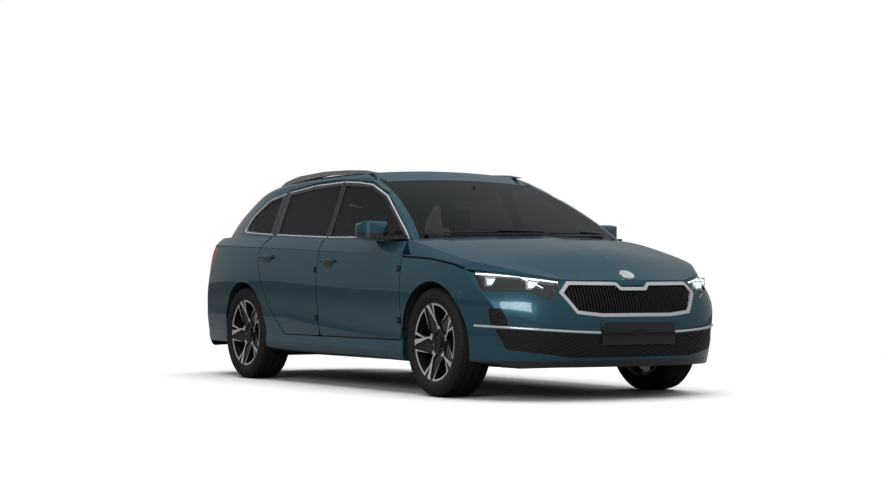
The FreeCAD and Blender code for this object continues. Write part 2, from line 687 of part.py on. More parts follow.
def door_hinges(axis_x, axis_y, frame_x):
    """Fixed leaves: a pin in the door's pocket and an arm from the pillar; and the pockets they need."""
    leaves, pockets = [], []
    for z in HINGE_Z:
        z0, z1 = z - LEAF_HEIGHT / 2, z + LEAF_HEIGHT / 2
        eye = Part.makeCylinder(PIN_RADIUS + 5, LEAF_HEIGHT - 20, V(axis_x, axis_y, z0 + 10))
        pin = Part.makeCylinder(PIN_RADIUS, LEAF_HEIGHT, V(axis_x, axis_y, z0))
        foot_y = axis_y + 95.0
        arm = Part.Face(Part.makePolygon([
            V(axis_x - 5, axis_y - 3, z0 + 10), V(axis_x + 6, axis_y - 3, z0 + 10),
            V(frame_x + 14, foot_y, z0 + 10), V(frame_x - 6, foot_y, z0 + 10),
            V(axis_x - 5, axis_y - 3, z0 + 10)])).extrude(V(0, 0, LEAF_HEIGHT - 20))
        leaves.append(join(eye, pin, arm))
        room = box(axis_x - 17, axis_x + 60, axis_y - 17, axis_y + 110, z0 + 4, z1 - 4)
        bore = Part.makeCylinder(PIN_RADIUS + SEAT_GAP, LEAF_HEIGHT + 0.6, V(axis_x, axis_y, z0 - 0.3))
        pockets.append(join(room, bore))
    return leaves, pockets


for row, outline, glass in (("front", FRONT_DOOR, FRONT_GLASS), ("rear", REAR_DOOR, REAR_GLASS)):
    panel, pane = make_door(outline, glass)
    edge = X(max(c[0] for c in outline))
    axis_x, axis_y = edge - HINGE_A, -Y(HINGE_Y[row])
    leaves, pockets = door_hinges(axis_x, axis_y, edge + 4)
    panel = cut_all(panel, pockets)
    for side, place in (("right", lambda o: o), ("left", mirrored)):
        save(f"{row}_door_{side}", place(panel))
        save(f"{row}_door_glass_{side}", place(pane))
    PIECES[f"{row}_leaves"] = leaves

hinge_leaves = PIECES.pop("front_leaves") + PIECES.pop("rear_leaves")
hinge_leaves = [leaf.cut(lower(FLANGE_DEPTH + 0.0, -80.0, 0.0, -200.0)) for leaf in hinge_leaves]
hinge_pieces = list(hinge_leaves)
quarter = side_pane(right_prism(grown(QUARTER_GLASS, -SEAT_GAP)), GLASS_INSET, GLASS)

# ---------------------------------------------------------------- roof and screens
roof = upper().common(ABOVE_BELT).cut(upper(0.0, 26.0)).common(
    box(X(TAILGATE_TOP_X) + TAILGATE_GAP, REACH, -ROOF_JOINT_Y + SEAT_GAP, ROOF_JOINT_Y - SEAT_GAP, 900, 2500))
roof = roof.cut(upper_body(0.0, 26.0))
header = upper(0.0, 24.0).cut(upper(0.0, HEADER_DROP)).cut(behind(SCREEN, SCREEN_Y, -60.0))
header = header.common(box(X(0), REACH, -ROOF_JOINT_Y + SEAT_GAP, ROOF_JOINT_Y - SEAT_GAP, 900, 2500))
roof = join(roof, largest(header, 1))
roof = roof.cut(tailgate_side.common(roof_side))
save("roof_panel", roof)
cowl = lower(WALL_DEPTH + SEAT_GAP, 30.0, 0.0, -200.0).cut(lower(WALL_DEPTH - 60, 44.0, 0.0, -200.0))
cowl = cowl.common(box(X(1082), X(1352), -690, 690, 700, 1200))
cowl_foot = lower(WALL_DEPTH + SEAT_GAP, 30.0, 0.0, -200.0).common(box(X(1076 + SEAT_GAP), X(1092), -690, 690, 900, 1000))
cowl = join(cowl, cowl_foot)
glass_space = upper(SCREEN_EDGE + SEAT_GAP, HEADER_DROP + SEAT_GAP)
glass_space = glass_space.common(upper(0.0, HEADER_DROP + SEAT_GAP))
windscreen = glass_space.cut(behind(SCREEN, SCREEN_Y, -SCREEN_SHIFT))
windscreen = windscreen.cut(lower(0.0, 30.0 - SEAT_GAP, 0.0, -200.0))
hinge_notch = box(X(1098), REACH, -REACH, -BONNET_LUG_Y + LUG_HALF + 6.0, 0, 2000)
windscreen = largest(cut_all(windscreen, [hinge_notch, mirrored(hinge_notch)]), 1)
save("fixed_windows", Part.Compound([windscreen, quarter, mirrored(quarter)]))

# ---------------------------------------------------------------- floor, bulkhead, wheelhouses
FLOOR_Z = (206.0, 226.0)
LOAD_Z = (600.0, 618.0)
inside = lower(WALL_DEPTH + SEAT_GAP, -80.0, 30.0, -200.0)
tub = cylinder_y(REAR_AXLE_X, AXLE_Z, ARCH_RADIUS + LINER + 2 * SEAT_GAP, -REACH, -WHEELHOUSE_Y + LINER + SEAT_GAP)
floor = inside.common(box(X(-1110), X(1060), -REACH, REACH, *FLOOR_Z))
riser = inside.common(box(X(-1110), X(-1092), -REACH, REACH, FLOOR_Z[0], LOAD_Z[1]))
load = inside.common(box(X(-2330), X(-1100), -REACH, REACH, *LOAD_Z)).common(ahead(TAIL, TAIL_Y, 98.0 + SEAT_GAP))
floor = cut_all(join(floor, riser, load), [tub, mirrored(tub), front_sweep, mirrored(front_sweep)])
save("floor_pan", floor)
BULKHEAD_X = (1060.0, 1076.0)
bulkhead = inside.common(box(X(BULKHEAD_X[0]) + SEAT_GAP, X(BULKHEAD_X[1]), -REACH, REACH, FLOOR_Z[0], 930))
bulkhead = cut_all(bulkhead, [front_sweep, mirrored(front_sweep)])
save("bulkhead", bulkhead)
save("cowl", cowl.common(box(X(BULKHEAD_X[0]), REACH, -690, 690, 0, 2000)))

ring = cylinder_y(REAR_AXLE_X, AXLE_Z, ARCH_RADIUS + LINER + SEAT_GAP, -REACH, -WHEELHOUSE_Y)
ring = ring.cut(cylinder_y(REAR_AXLE_X, AXLE_Z, ARCH_RADIUS + SEAT_GAP, -REACH, -WHEELHOUSE_Y - LINER))
stub_room = join(cylinder_y(REAR_AXLE_X, AXLE_Z, STUB_RADIUS + 8.0, -WHEELHOUSE_Y - 20, -WHEELHOUSE_Y + 20),
                 box(REAR_AXLE_X - STUB_RADIUS - 8.0, REAR_AXLE_X + STUB_RADIUS + 8.0, -WHEELHOUSE_Y - 20,
                     -WHEELHOUSE_Y + 20, 100, AXLE_Z))
ring = ring.cut(stub_room)
ring = ring.common(inside).common(box(-REACH, REACH, -REACH, 0, 260, 1500))
front_liner = cylinder_y(FRONT_AXLE_X, AXLE_Z, STEER_SWEEP + LINER, -SWEEP_Y - 20, -RAIL_Y)
front_liner = front_liner.cut(cylinder_y(FRONT_AXLE_X, AXLE_Z, STEER_SWEEP, -SWEEP_Y, -RAIL_Y))
front_liner = front_liner.cut(cylinder_y(FRONT_AXLE_X, AXLE_Z, ARCH_RADIUS + 6.0, -REACH, -RAIL_Y))
lip = cylinder_y(FRONT_AXLE_X, AXLE_Z, ARCH_RADIUS + 6.0 + LINER, -HALF, -SWEEP_Y - 10)
lip = lip.cut(cylinder_y(FRONT_AXLE_X, AXLE_Z, ARCH_RADIUS + 6.0, -REACH, -RAIL_Y))
lip = lip.common(lower(SKIN + SEAT_GAP, SKIN + SEAT_GAP, SKIN + SEAT_GAP, -200.0))
lip = lip.common(box(FRONT_END + 1.0, REACH, -REACH, REACH, -REACH, REACH))
front_liner = largest(join(front_liner, lip).common(box(-REACH, REACH, -REACH, 0, 300, 1500)), 1)
save("wheelhouses", Part.Compound([ring, mirrored(ring), front_liner, mirrored(front_liner)]))

# ---------------------------------------------------------------- front end
SHUT_LINE = [(1100, 851), (1441, 834), (1679, 800), (1845, 758)]
LAMP_CORNER = [(1845, 752), (1935, 640)]
GRILLE = [(-490, 630, 10), (-428, 694, 12), (-112, 691, 20), (-84, 662, 20), (84, 662, 20), (112, 691, 20),
          (428, 694, 12), (490, 630, 10), (408, 506, 14), (250, 489, 200), (-250, 489, 200), (-408, 506, 14)]
LAMP = [(-1000, 770, 0), (-822, 756, 6), (-458, 697, 6), (-503, 630, 8), (-536, 574, 6), (-640, 633, 20),
        (-1000, 640, 0)]
LOWER_GRILLE = [(-790, 418, 8), (-262, 384, 60), (262, 384, 60), (790, 418, 8), (748, 300, 20), (420, 254, 60),
                (-420, 254, 60), (-748, 300, 20)]
AIR_CURTAIN = [(-1000, 545, 0), (-772, 538, 8), (-742, 432, 10), (-1000, 444, 0)]
CURTAIN_X = 1990.0
BONNET_EDGE = [(-1100, 775), (-822, 763), (-440, 703), (-116, 699), (-88, 670)]


BONNET_AXIS = (X(1112.0), 930.0)
BONNET_SCREEN_GAP = 32.0
LID_PIN = 5.0


def model(corners):
    return [(Y(w), Z(h), r) for w, h, r in corners]


def across(corners, by=0.0, x0=1500.0, x1=2700.0):
    return rear_prism(model(grown(ccw(corners), by)), X(x0), X(x1))


def curtain_zone(by=0.0):
    return across(AIR_CURTAIN, by, CURTAIN_X)


bonnet_front = [(w, h, 0) for w, h in BONNET_EDGE] + [(-w, h, 0) for w, h in reversed(BONNET_EDGE)]
above_front = across(bonnet_front + [(1100, 1500, 0), (-1100, 1500, 0)], 0.0, 1780, 2700)
below_front = across(bonnet_front + [(1100, -200, 0), (-1100, -200, 0)], -PANEL_GAP, 1780, 2700)
shut_top = [(s, h, 0) for s, h in SHUT_LINE]
above_side = side_prism(ccw(shut_top + [(1845, 1500, 0), (1100, 1500, 0)]), -REACH, REACH)
bonnet_zone = above_side.fuse(above_front)
bonnet_rear = behind(SCREEN, SCREEN_Y, BONNET_SCREEN_GAP)
bonnet = lower().cut(lower(BONNET_THICKNESS, BONNET_THICKNESS, BONNET_THICKNESS, -200.0))
bonnet = bonnet.common(box(X(1104.5), REACH, -REACH, REACH, 600, 1500))
rear_corner = side_prism(ccw([(1090, 908, 0), (1140, 958, 0), (1140, 1100, 0), (1090, 1100, 0)]), -REACH, -770)
bonnet = bonnet.common(bonnet_zone).cut(bonnet_rear)
bonnet = cut_all(bonnet, [rear_corner, mirrored(rear_corner)])
lug_y0, lug_y1 = -BONNET_LUG_Y - LUG_HALF, -BONNET_LUG_Y + LUG_HALF
lug = side_prism(ccw([(1102, 918, 4), (1125, 918, 4), (1290, 925, 4), (1290, 985, 0), (1200, 985, 0),
                      (1102, 941, 4)]), lug_y0, lug_y1)
lug_bore = cylinder_y(*BONNET_AXIS, LID_PIN + SEAT_GAP, -REACH, REACH)
lug = lug.common(lower(8.0, 8.0, 0.0, -200.0)).cut(lug_bore)
bonnet = largest(join(bonnet, lug, mirrored(lug)), 1)
save("bonnet", bonnet)
stand_x0, stand_x1 = BONNET_AXIS[0] - 9, BONNET_AXIS[0] + 9
stand_top = BONNET_AXIS[1] + 6
stand_z = 835.0 + SEAT_GAP
stands = [box(stand_x0, stand_x1, lug_y0 - 8.5, lug_y0 - 0.5, stand_z, stand_top),
          box(stand_x0, stand_x1, lug_y1 + 0.5, lug_y1 + 8.5, stand_z, stand_top),
          box(stand_x0 + 1, X(1174), -812, lug_y1 + 8.5, stand_z, stand_z + 8),
          cylinder_y(*BONNET_AXIS, LID_PIN, lug_y0 - 8.5, lug_y1 + 8.5)]
hinge_pieces.append(join(*stands))

shell = lower().cut(lower(SKIN, SKIN, SKIN, -200.0))
fender_outline = [(1103.8, 190, 0), (1300, 190, 0), (1469, 500, 0), (1469, 642, 0), (1932, 642, 0),
                  (1845 - PANEL_GAP, 752 - 6, 0), (1679, 800 - 7, 0), (1441, 834 - 7, 0), (1103.8, 851 - 7, 0)]
fender = shell.common(side_prism(ccw(fender_outline), -REACH, -500)).cut(front_arch)
fender = fender.cut(across(bonnet_front + [(1100, 1500, 0), (-1100, 1500, 0)], PANEL_GAP, 1780, 2700))
fender = largest(fender, 1)
save("front_fenders", both_sides(fender))

lamp_front = side_prism(ccw([(1845, 1200, 0), (1845, 752, 0), (1935, 640, 0), (1935, 300, 0), (2700, 300, 0),
                             (2700, 1200, 0)]), -REACH, REACH)
lamp_zone_front = across(LAMP).common(lamp_front)
bumper_side = side_prism(ccw([(1469, 100, 0), (2700, 100, 0), (2700, 800, 0), (1900, 800, 0), (1935, 641.7, 0),
                              (1469, 641.7, 0)]), -REACH, REACH)
bumper = shell.common(bumper_side).common(below_front)
tyre_room = cylinder_y(FRONT_AXLE_X, AXLE_Z, ARCH_RADIUS, -REACH, -RAIL_Y)
bumper = cut_all(bumper, [tyre_room, mirrored(tyre_room), across(GRILLE), lamp_zone_front,
                          mirrored(lamp_zone_front), across(LOWER_GRILLE), curtain_zone(),
                          mirrored(curtain_zone())])
save("front_bumper", largest(bumper, 1))


def front_patch(zone, near, far):
    """The part of the nose between two insets that lies in a zone."""
    return zone.common(lower(near, near, near, -200.0)).cut(zone.common(lower(far, far, far, -200.0)))


save("grille_surround", front_patch(across(GRILLE, -SEAT_GAP), 0.0, 20.0).cut(across(GRILLE, -20.0)))
grille_back = front_patch(across(GRILLE, -20.3), 26.0, 32.0)
slats = []
for i in range(-21, 22):
    y = i * 20.5
    slats.append(box(X(2000), REACH, y - 3.4, y + 3.4, 400, 800))
slats = front_patch(across(GRILLE, -20.3), 8.0, 26.0).common(Part.Compound(slats))
save("front_grille", join(grille_back, slats))
lower_grille = front_patch(across(LOWER_GRILLE, -SEAT_GAP), 4.0, 12.0)
curtain = front_patch(curtain_zone(-SEAT_GAP), 3.0, 9.0).common(
    box(0, REACH, -REACH, 0, 0, 1000))
save("bumper_grilles", Part.Compound([lower_grille, curtain, mirrored(curtain)]))
lamp_body = front_patch(across(LAMP, -SEAT_GAP).common(lamp_front), 4.0 + SEAT_GAP, 60.0).cut(
    front_patch(across(LAMP, -8.0).common(lamp_front), 0.0, 34.0))
save("headlamps", both_sides(lamp_body))
lens = front_patch(across(LAMP, -SEAT_GAP).common(lamp_front), 0.0, 4.0)
save("headlamp_lenses", both_sides(lens))

# ---------------------------------------------------------------- rear end
rear_shell = lower().cut(lower(SKIN + 3, SKIN + 3, SKIN + 3, -200.0))
rear_bumper = rear_shell.common(bumper_zone).cut(rear_arch).cut(mirrored(rear_arch))
rear_bumper = rear_bumper.common(box(-REACH, REACH, -REACH, REACH, -100, BUMPER_TOP - SEAT_GAP))
save("rear_bumper", rear_bumper)
tail_inner = ahead(TAIL, TAIL_Y, 70.0)
tail_panel = lower(WALL_DEPTH + SEAT_GAP, -80.0, 0.0, -200.0).common(ahead(TAIL, TAIL_Y, 84.0)).cut(
    ahead(TAIL, TAIL_Y, 98.0)).common(box(-REACH, REACH, -REACH, REACH, 230, LOAD_Z[1]))
save("tail_panel", tail_panel)
gate_zone = rear_prism(tailgate_outline(0.0), X(-2700), X(-1560))
gate_low = lower(0.0, -40.0, 0.0).common(BELOW_BELT).common(gate_zone).cut(ahead(TAIL, TAIL_Y, 60.0))
gate_up = upper().common(ABOVE_BELT).common(gate_zone).common(box(-REACH, X(TAILGATE_TOP_X), -REACH, REACH, 900, 2500))
gate_up = gate_up.cut(upper(-200.0, 26.0, 0.0, 44.0))
tailgate = join(gate_low, gate_up)
GATE_AXIS = (X(-1840.0), Z(1361.0))
GATE_ARM_Y = 200.0
GATE_PIN = 4.0
arm = box(X(TAILGATE_TOP_X) - 30, GATE_AXIS[0] + 8, -GATE_ARM_Y - 12, -GATE_ARM_Y + 12,
          GATE_AXIS[1] - 8, GATE_AXIS[1] + 6)
gate_bore = cylinder_y(*GATE_AXIS, GATE_PIN + SEAT_GAP, -GATE_ARM_Y - 40, -GATE_ARM_Y + 40)
arm = arm.cut(gate_bore)
tailgate = join(tailgate, arm, mirrored(arm))
gate_pin = cylinder_y(*GATE_AXIS, GATE_PIN, -GATE_ARM_Y - 17.7, -GATE_ARM_Y + 17.7)
cheeks = [box(GATE_AXIS[0] - 6, GATE_AXIS[0] + 19.7, -GATE_ARM_Y + a, -GATE_ARM_Y + b,
              GATE_AXIS[1] - 7, GATE_AXIS[1] + 5) for a, b in ((-17.7, -13.0), (13.0, 17.7))]
gate_pin = join(gate_pin, *cheeks)
hinge_pieces.append(gate_pin)
save("lid_and_door_hinges", Part.Compound(hinge_pieces + [mirrored(o) for o in hinge_pieces]))
notch = box(X(TAILGATE_TOP_X) - 30, GATE_AXIS[0] + 20, -GATE_ARM_Y - 18, -GATE_ARM_Y + 18, 1200, 1600)
roof = roof.cut(notch).cut(mirrored(notch))
save("roof_panel", roof)
REAR_WINDOW = [(-470, 1040, 40), (-535, 1075, 30), (-455, 1200, 60), (-350, 1290, 50), (350, 1290, 50),
               (455, 1200, 60), (535, 1075, 30), (470, 1040, 40)]
window = rear_prism(model(ccw(REAR_WINDOW)), X(-2700), X(-1700))
tailgate = largest(tailgate.cut(window), 1)
save("tailgate", tailgate)
window_in = rear_prism(model(grown(ccw(REAR_WINDOW), -SEAT_GAP)), X(-2700), X(-1700))
save("tailgate_glass", window_in.common(upper(0.0, 0.0, 0.0, 6.0)).cut(ahead(TAIL, TAIL_Y, 12.0)))
lamp_inner = LAMP_DEPTH - SEAT_GAP
lamp_piece = lamp_zone.common(lower()).cut(lower(lamp_inner, lamp_inner, lamp_inner))
lamp_piece = lamp_piece.cut(tail_zone).common(box(-REACH, REACH, -REACH, 0, 0, 1100))
save("tail_lamps", both_sides(lamp_piece))

# ---------------------------------------------------------------- wheels and running gear
TYRE_PROFILE = [(-104, RIM_RADIUS + SEAT_GAP), (-113, 262), (-116, 290), (-108, 314), (-94, 326), (-60, TYRE_RADIUS),
                (60, TYRE_RADIUS), (94, 326), (108, 314), (116, 290), (113, 262), (104, RIM_RADIUS + SEAT_GAP)]
HUB_REACH = 30.0  # the hub runs this far inboard of the wheel's middle


SPOKE_GROUPS = 5
SPOKE_PHASE = 88.0  # degrees up from forward, where the first pair of spokes springs from the hub
SPOKE_END = 222.0  # where the openings stop short of the rim
POCKET_DEPTH = 9.0  # the dark panels between the pairs lie this far back
BOLT_CIRCLE = 112.0
# Outlines of one fifth of the wheel: radius, degrees from the springing point, corner radius.
SPOKE_OPENING = [(92, 0, 6), (266, -40.0, 0), (266, 4.0, 0), (150, 9.5, 20)]
SPOKE_SLOT = [(154, 12.4, 3), (262, 8.8, 0), (262, 17.8, 0)]
SPOKE_POCKET = [(78, 14, 6), (112, 9, 10), (262, 27.0, 0), (262, 32.0, 0), (216, 33.8, 0), (104, 64, 10), (78, 58, 6)]


def wheel_outline(x, phase, corners, y0, y1):
    """A wheel-face outline in polar places, run across the wheel between two widths."""
    places = []
    for r, a, corner in corners:
        t = math.radians(phase + a)
        places.append((x + r * math.cos(t), AXLE_Z + r * math.sin(t), corner))
    wire = rounded_wire(ccw(places), lambda p: V(p.x, y0, p.y))
    return Part.Face(wire).extrude(V(0, y1 - y0, 0)).common(cylinder_y(x, AXLE_Z, SPOKE_END, y0, y1))


def make_rim(x, side):
    """Rim in place on the right (side -1) or left (+1); the face is outboard."""
    yo = side * HUB_Y
    barrel = revolve_y([(yo + side * o, r) for o, r in
                        ((-102, 222), (-102, RIM_RADIUS), (102, RIM_RADIUS), (102, 232), (60, 218), (-40, 214))],
                       x, AXLE_Z)
    hub = revolve_y([(yo + side * o, r) for o, r in
                     ((-HUB_REACH, 0), (-HUB_REACH, 80), (56, 78), (60, 72), (60, 36), (72, 33), (76, 26), (76, 0))],
                    x, AXLE_Z)
    front = [(68, 66), (101, 231)]
    profile = [(36, 40), (44, 120), (68, 226), (98, 235), (101, 235), front[1], front[0], (60, 60), (60, 40)]
    face = revolve_y([(yo + side * o, r) for o, r in profile], x, AXLE_Z)
    pockets = revolve_y([(yo + side * o, r) for o, r in
                         ((68 - POCKET_DEPTH, 66), (101 - POCKET_DEPTH, 231), (140, 231), (140, 66))], x, AXLE_Z)
    gaps = []
    for k in range(SPOKE_GROUPS):
        phase = SPOKE_PHASE + k * 360.0 / SPOKE_GROUPS
        gaps.append(wheel_outline(x, phase, SPOKE_OPENING, -REACH, REACH))
        gaps.append(wheel_outline(x, phase, SPOKE_SLOT, -REACH, REACH))
        gaps.append(wheel_outline(x, phase, SPOKE_POCKET, -REACH, REACH).common(pockets))
        t = math.radians(phase + 36.0)
        gaps.append(cylinder_y(x + BOLT_CIRCLE / 2 * math.cos(t), AXLE_Z + BOLT_CIRCLE / 2 * math.sin(t), 9.0,
                               *sorted((yo + side * 40, side * REACH))))
    return largest(cut_all(join(face, hub), gaps).fuse(barrel), 1)


def make_tyre(x, side):
    return revolve_y([(side * HUB_Y + o, r) for o, r in TYRE_PROFILE], x, AXLE_Z)


for name, x in (("front", FRONT_AXLE_X), ("rear", REAR_AXLE_X)):
    for side_name, side in (("right", -1), ("left", 1)):
        save(f"{name}_rim_{side_name}", make_rim(x, side))
        save(f"{name}_tyre_{side_name}", make_tyre(x, side))

KING_Y = HUB_Y - 72.0
for side_name, side in (("right", -1), ("left", 1)):
    yo = side * KING_Y
    hub_end = side * (HUB_Y - HUB_REACH - SEAT_GAP)
    hub = cylinder_y(FRONT_AXLE_X, AXLE_Z, 46, *sorted((yo - side * 34, hub_end)))
    post = Part.makeCylinder(24, 230, V(FRONT_AXLE_X, yo, AXLE_Z - 110))
    caliper = box(FRONT_AXLE_X - 168, FRONT_AXLE_X - 84, *sorted((yo + side * 20, yo + side * 44)), AXLE_Z - 46, AXLE_Z + 46)
    arm = box(FRONT_AXLE_X - 120, FRONT_AXLE_X, *sorted((yo - side * 18, yo + side * 22)), AXLE_Z - 34, AXLE_Z + 34)
    save(f"front_knuckle_{side_name}", join(hub, post, arm, caliper))

# ---------------------------------------------------------------- chassis pieces
KNUCKLE_FOOT_Z = AXLE_Z - 110.0
rails = [box(X(s0), X(s1), y0, y1, 170, 215) for s0, s1, y0, y1 in
         ((1180, 1230, -430, 430), (1690, 1740, -430, 430),
          (BULKHEAD_X[1] + SEAT_GAP, 1740, -430, -370), (BULKHEAD_X[1] + SEAT_GAP, 1740, 370, 430))]
tower = box(FRONT_AXLE_X - 60, FRONT_AXLE_X + 60, -430, -400, 205, 640)
lower_arm = box(FRONT_AXLE_X - 30, FRONT_AXLE_X + 30, -KING_Y - 22, -420, 180, KNUCKLE_FOOT_Z - SEAT_GAP)
save("front_subframe", join(*rails, tower, mirrored(tower), lower_arm, mirrored(lower_arm)))
save("engine_block", box(X(1260), X(1680), -395, 395, 215 + SEAT_GAP, 790))
stub_end = HUB_Y - HUB_REACH - SEAT_GAP
beam = box(REAR_AXLE_X - 35, REAR_AXLE_X + 35, -560, 560, AXLE_Z - 40, AXLE_Z + 40)
stubs = [cylinder_y(REAR_AXLE_X, AXLE_Z, STUB_RADIUS, *sorted((side * 500.0, side * stub_end))) for side in (-1, 1)]
posts = [box(REAR_AXLE_X - 45, REAR_AXLE_X + 45, side * 480 - 40, side * 480 + 40, AXLE_Z, LOAD_Z[0] - SEAT_GAP)
         for side in (-1, 1)]
save("rear_axle", join(beam, *stubs, *posts))
pipe = Part.makeCylinder(28, X(1170) - X(-1500), V(X(-1500), -120, 176), V(1, 0, 0))
muffler = box(X(-1900), X(-1480), -400, 160, 150, 300)
hangers = [box(X(s) - 12, X(s) + 12, y - 12, y + 12, z0, z1) for s, y, z0, z1 in
           ((900, -120, 190, FLOOR_Z[0] - SEAT_GAP), (-300, -120, 190, FLOOR_Z[0] - SEAT_GAP),
            (-1700, -320, 280, LOAD_Z[0] - SEAT_GAP), (-1700, 80, 280, LOAD_Z[0] - SEAT_GAP))]
save("exhaust", join(pipe, muffler, *hangers))

# ---------------------------------------------------------------- cabin
dash_profile = [(1060, 640), (1060, 905), (960, 945), (800, 925), (720, 890), (700, 800), (820, 700), (940, 640)]
dash = side_prism(ccw([(a, b, 0) for a, b in dash_profile]), -700, 700).common(inside)
SEAT_Y = 370.0


def seat_shape(x0, y, half, top):
    base = box(X(x0 - 60), X(x0 + 420), y - half + 30, y + half - 30, FLOOR_Z[1] + SEAT_GAP, 400)
    cushion = side_prism(ccw([(x0 - 80, 395, 20), (x0 + 470, 395, 40), (x0 + 480, 520, 60), (x0 + 350, 545, 60),
                              (x0, 480, 40), (x0 - 80, 500, 20)]), y - half, y + half)
    back = side_prism(ccw([(x0 - 80, 420, 20), (x0 + 60, 460, 40), (x0 - 110, 1010, 60), (x0 - 200, 1020, 30),
                           (x0 - 150, 700, 60)]), y - half, y + half)
    posts = box(X(x0 - 172), X(x0 - 158), y - 60, y - 46, 990, 1090)
    posts = posts.fuse(box(X(x0 - 172), X(x0 - 158), y + 46, y + 60, 990, 1090))
    head = side_prism(ccw([(x0 - 215, 1060, 25), (x0 - 130, 1060, 25), (x0 - 145, top, 30), (x0 - 215, top, 30)]),
                      y - 135, y + 135)
    return join(base, cushion, back, posts, head)


front_seat = seat_shape(-150.0, -SEAT_Y, 255.0, 1235.0)
save("front_seats", both_sides(front_seat))
rear_base = box(X(-1080), X(-600), -540, 540, FLOOR_Z[1] + SEAT_GAP, 400)
rear_cushion = side_prism(ccw([(-1040, 395, 20), (-560, 395, 40), (-550, 500, 50), (-680, 520, 50), (-1000, 470, 40)]), -570, 570)
rear_back = side_prism(ccw([(-1040, 420, 20), (-920, 460, 40), (-1090, 990, 60), (-1180, 1000, 30), (-1110, 640, 60)]), -570, 570)
rear_back = rear_back.cut(box(X(-1500), X(-1092) + SEAT_GAP, -REACH, REACH, 0, LOAD_Z[1] + 22))
heads = []
for y in (-370.0, 0.0, 370.0):
    heads.append(side_prism(ccw([(-1185, 985, 20), (-1110, 985, 20), (-1120, 1130, 25), (-1180, 1130, 25)]), y - 120, y + 120))
save("rear_seat", join(rear_base, rear_cushion, rear_back, *heads))
WHEEL_AT = (X(560.0), SEAT_Y, 905.0)
RAKE = 24.0
wheel_axis = V(-math.cos(math.radians(RAKE)), 0, math.sin(math.radians(RAKE)))
rim = Part.makeTorus(182, 15, V(*WHEEL_AT), wheel_axis)
boss = Part.makeCylinder(52, 40, V(*WHEEL_AT) - wheel_axis * 52, wheel_axis)
spokes = []
side_dir = V(0, 1, 0)
up_dir = wheel_axis.cross(side_dir)
for a in (0, 180, 270):
    t = math.radians(a)
    d = side_dir * math.cos(t) + up_dir * math.sin(t)
    start = V(*WHEEL_AT) + d * 30 - wheel_axis * 30
    end = V(*WHEEL_AT) + d * 178
    length = (end - start).Length
    spokes.append(Part.makeCone(17, 11, length, start, (end - start).normalize()))
save("steering_wheel", join(rim, boss, *spokes))
shaft = Part.makeCylinder(14, 20, V(*WHEEL_AT) - wheel_axis * 72.3, wheel_axis)
column = Part.makeCylinder(26, 300, V(*WHEEL_AT) - wheel_axis * 372.3, wheel_axis)
save("dashboard", join(dash, shaft, column.common(box(0, X(1059), 0, REACH, 0, 2000))))

# ---------------------------------------------------------------- mirrors and roof rails
housing = plan_prism([(692, -1000, 25), (692, -826, 14), (826, -826, 40), (846, -880, 60), (806, -968, 70),
                      (742, -1008, 30)], 945, 1090)
front_face = rear_prism([(-1010, 985, 30), (-1004, 1058, 30), (-940, 1082, 60), (-820, 1080, 14), (-820, 962, 10),
                         (-900, 954, 40)], 0, X(1200))
side_face = side_prism([(690, 955, 8), (850, 955, 40), (856, 1010, 60), (820, 1070, 60), (760, 1084, 60),
                        (690, 1076, 12)], -REACH, 0)
housing = housing.common(front_face).common(side_face)
foot = plan_prism([(780, -900, 15), (800, -935, 20), (870, -925, 30), (1000, -870, 20), (1030, -770, 5),
                   (880, -770, 5)], 958, 982)
mirror = join(housing, foot).cut(upper_body(-SEAT_GAP, 0.0)).cut(lower_body(-SEAT_GAP, -SEAT_GAP))
mirror = largest(mirror, 1)
for side_name, place in (("right", lambda o: o), ("left", mirrored)):
    save(f"door_mirror_{side_name}", place(mirror))

RAIL = [(318, 1380), (230, 1420), (60, 1447), (-150, 1459), (-500, 1466), (-900, 1454), (-1180, 1424), (-1300, 1392)]
RAIL_LOW = [(-1230, 1388, 20), (-1005, 1410, 40), (-765, 1424, 100), (-456, 1436, 200), (-158, 1433, 200),
            (60, 1424, 60), (200, 1402, 20)]
rail_top = [(s, h, 60 if 0 < i < len(RAIL) - 1 else 4) for i, (s, h) in enumerate(RAIL)]
rail_zone = side_prism(ccw(rail_top + RAIL_LOW), -REACH, 0)
front_leg = side_prism(ccw([(318, 1380, 4), (200, 1402, 0), (215, 1330, 0), (330, 1320, 0)]), -REACH, 0)
rear_leg = side_prism(ccw([(-1300, 1392, 0), (-1320, 1300, 0), (-1210, 1300, 0), (-1230, 1388, 0)]), -REACH, 0)
rail_plan = plan_prism([(335, -538, 0), (100, -556, 300), (-400, -573, 900), (-1000, -555, 600), (-1340, -516, 0),
                        (-1340, -550, 0), (-1000, -590, 600), (-400, -608, 900), (100, -591, 300), (335, -570, 0)],
                       1280, 1500)
rail = rail_plan.common(rail_zone).fuse(rail_plan.common(front_leg)).fuse(rail_plan.common(rear_leg))
rail = largest(rail.cut(upper_body(-SEAT_GAP, -SEAT_GAP)), 1)
save("roof_rails", both_sides(rail))
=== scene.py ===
"""Looks of the station wagon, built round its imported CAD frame."""

import math

import bmesh
import bpy
from bpy.props import FloatProperty, FloatVectorProperty, PointerProperty
from bpy.types import NodeSocket, Operator, Panel, PropertyGroup
from mathutils import Matrix, Vector
from mathutils.bvhtree import BVHTree


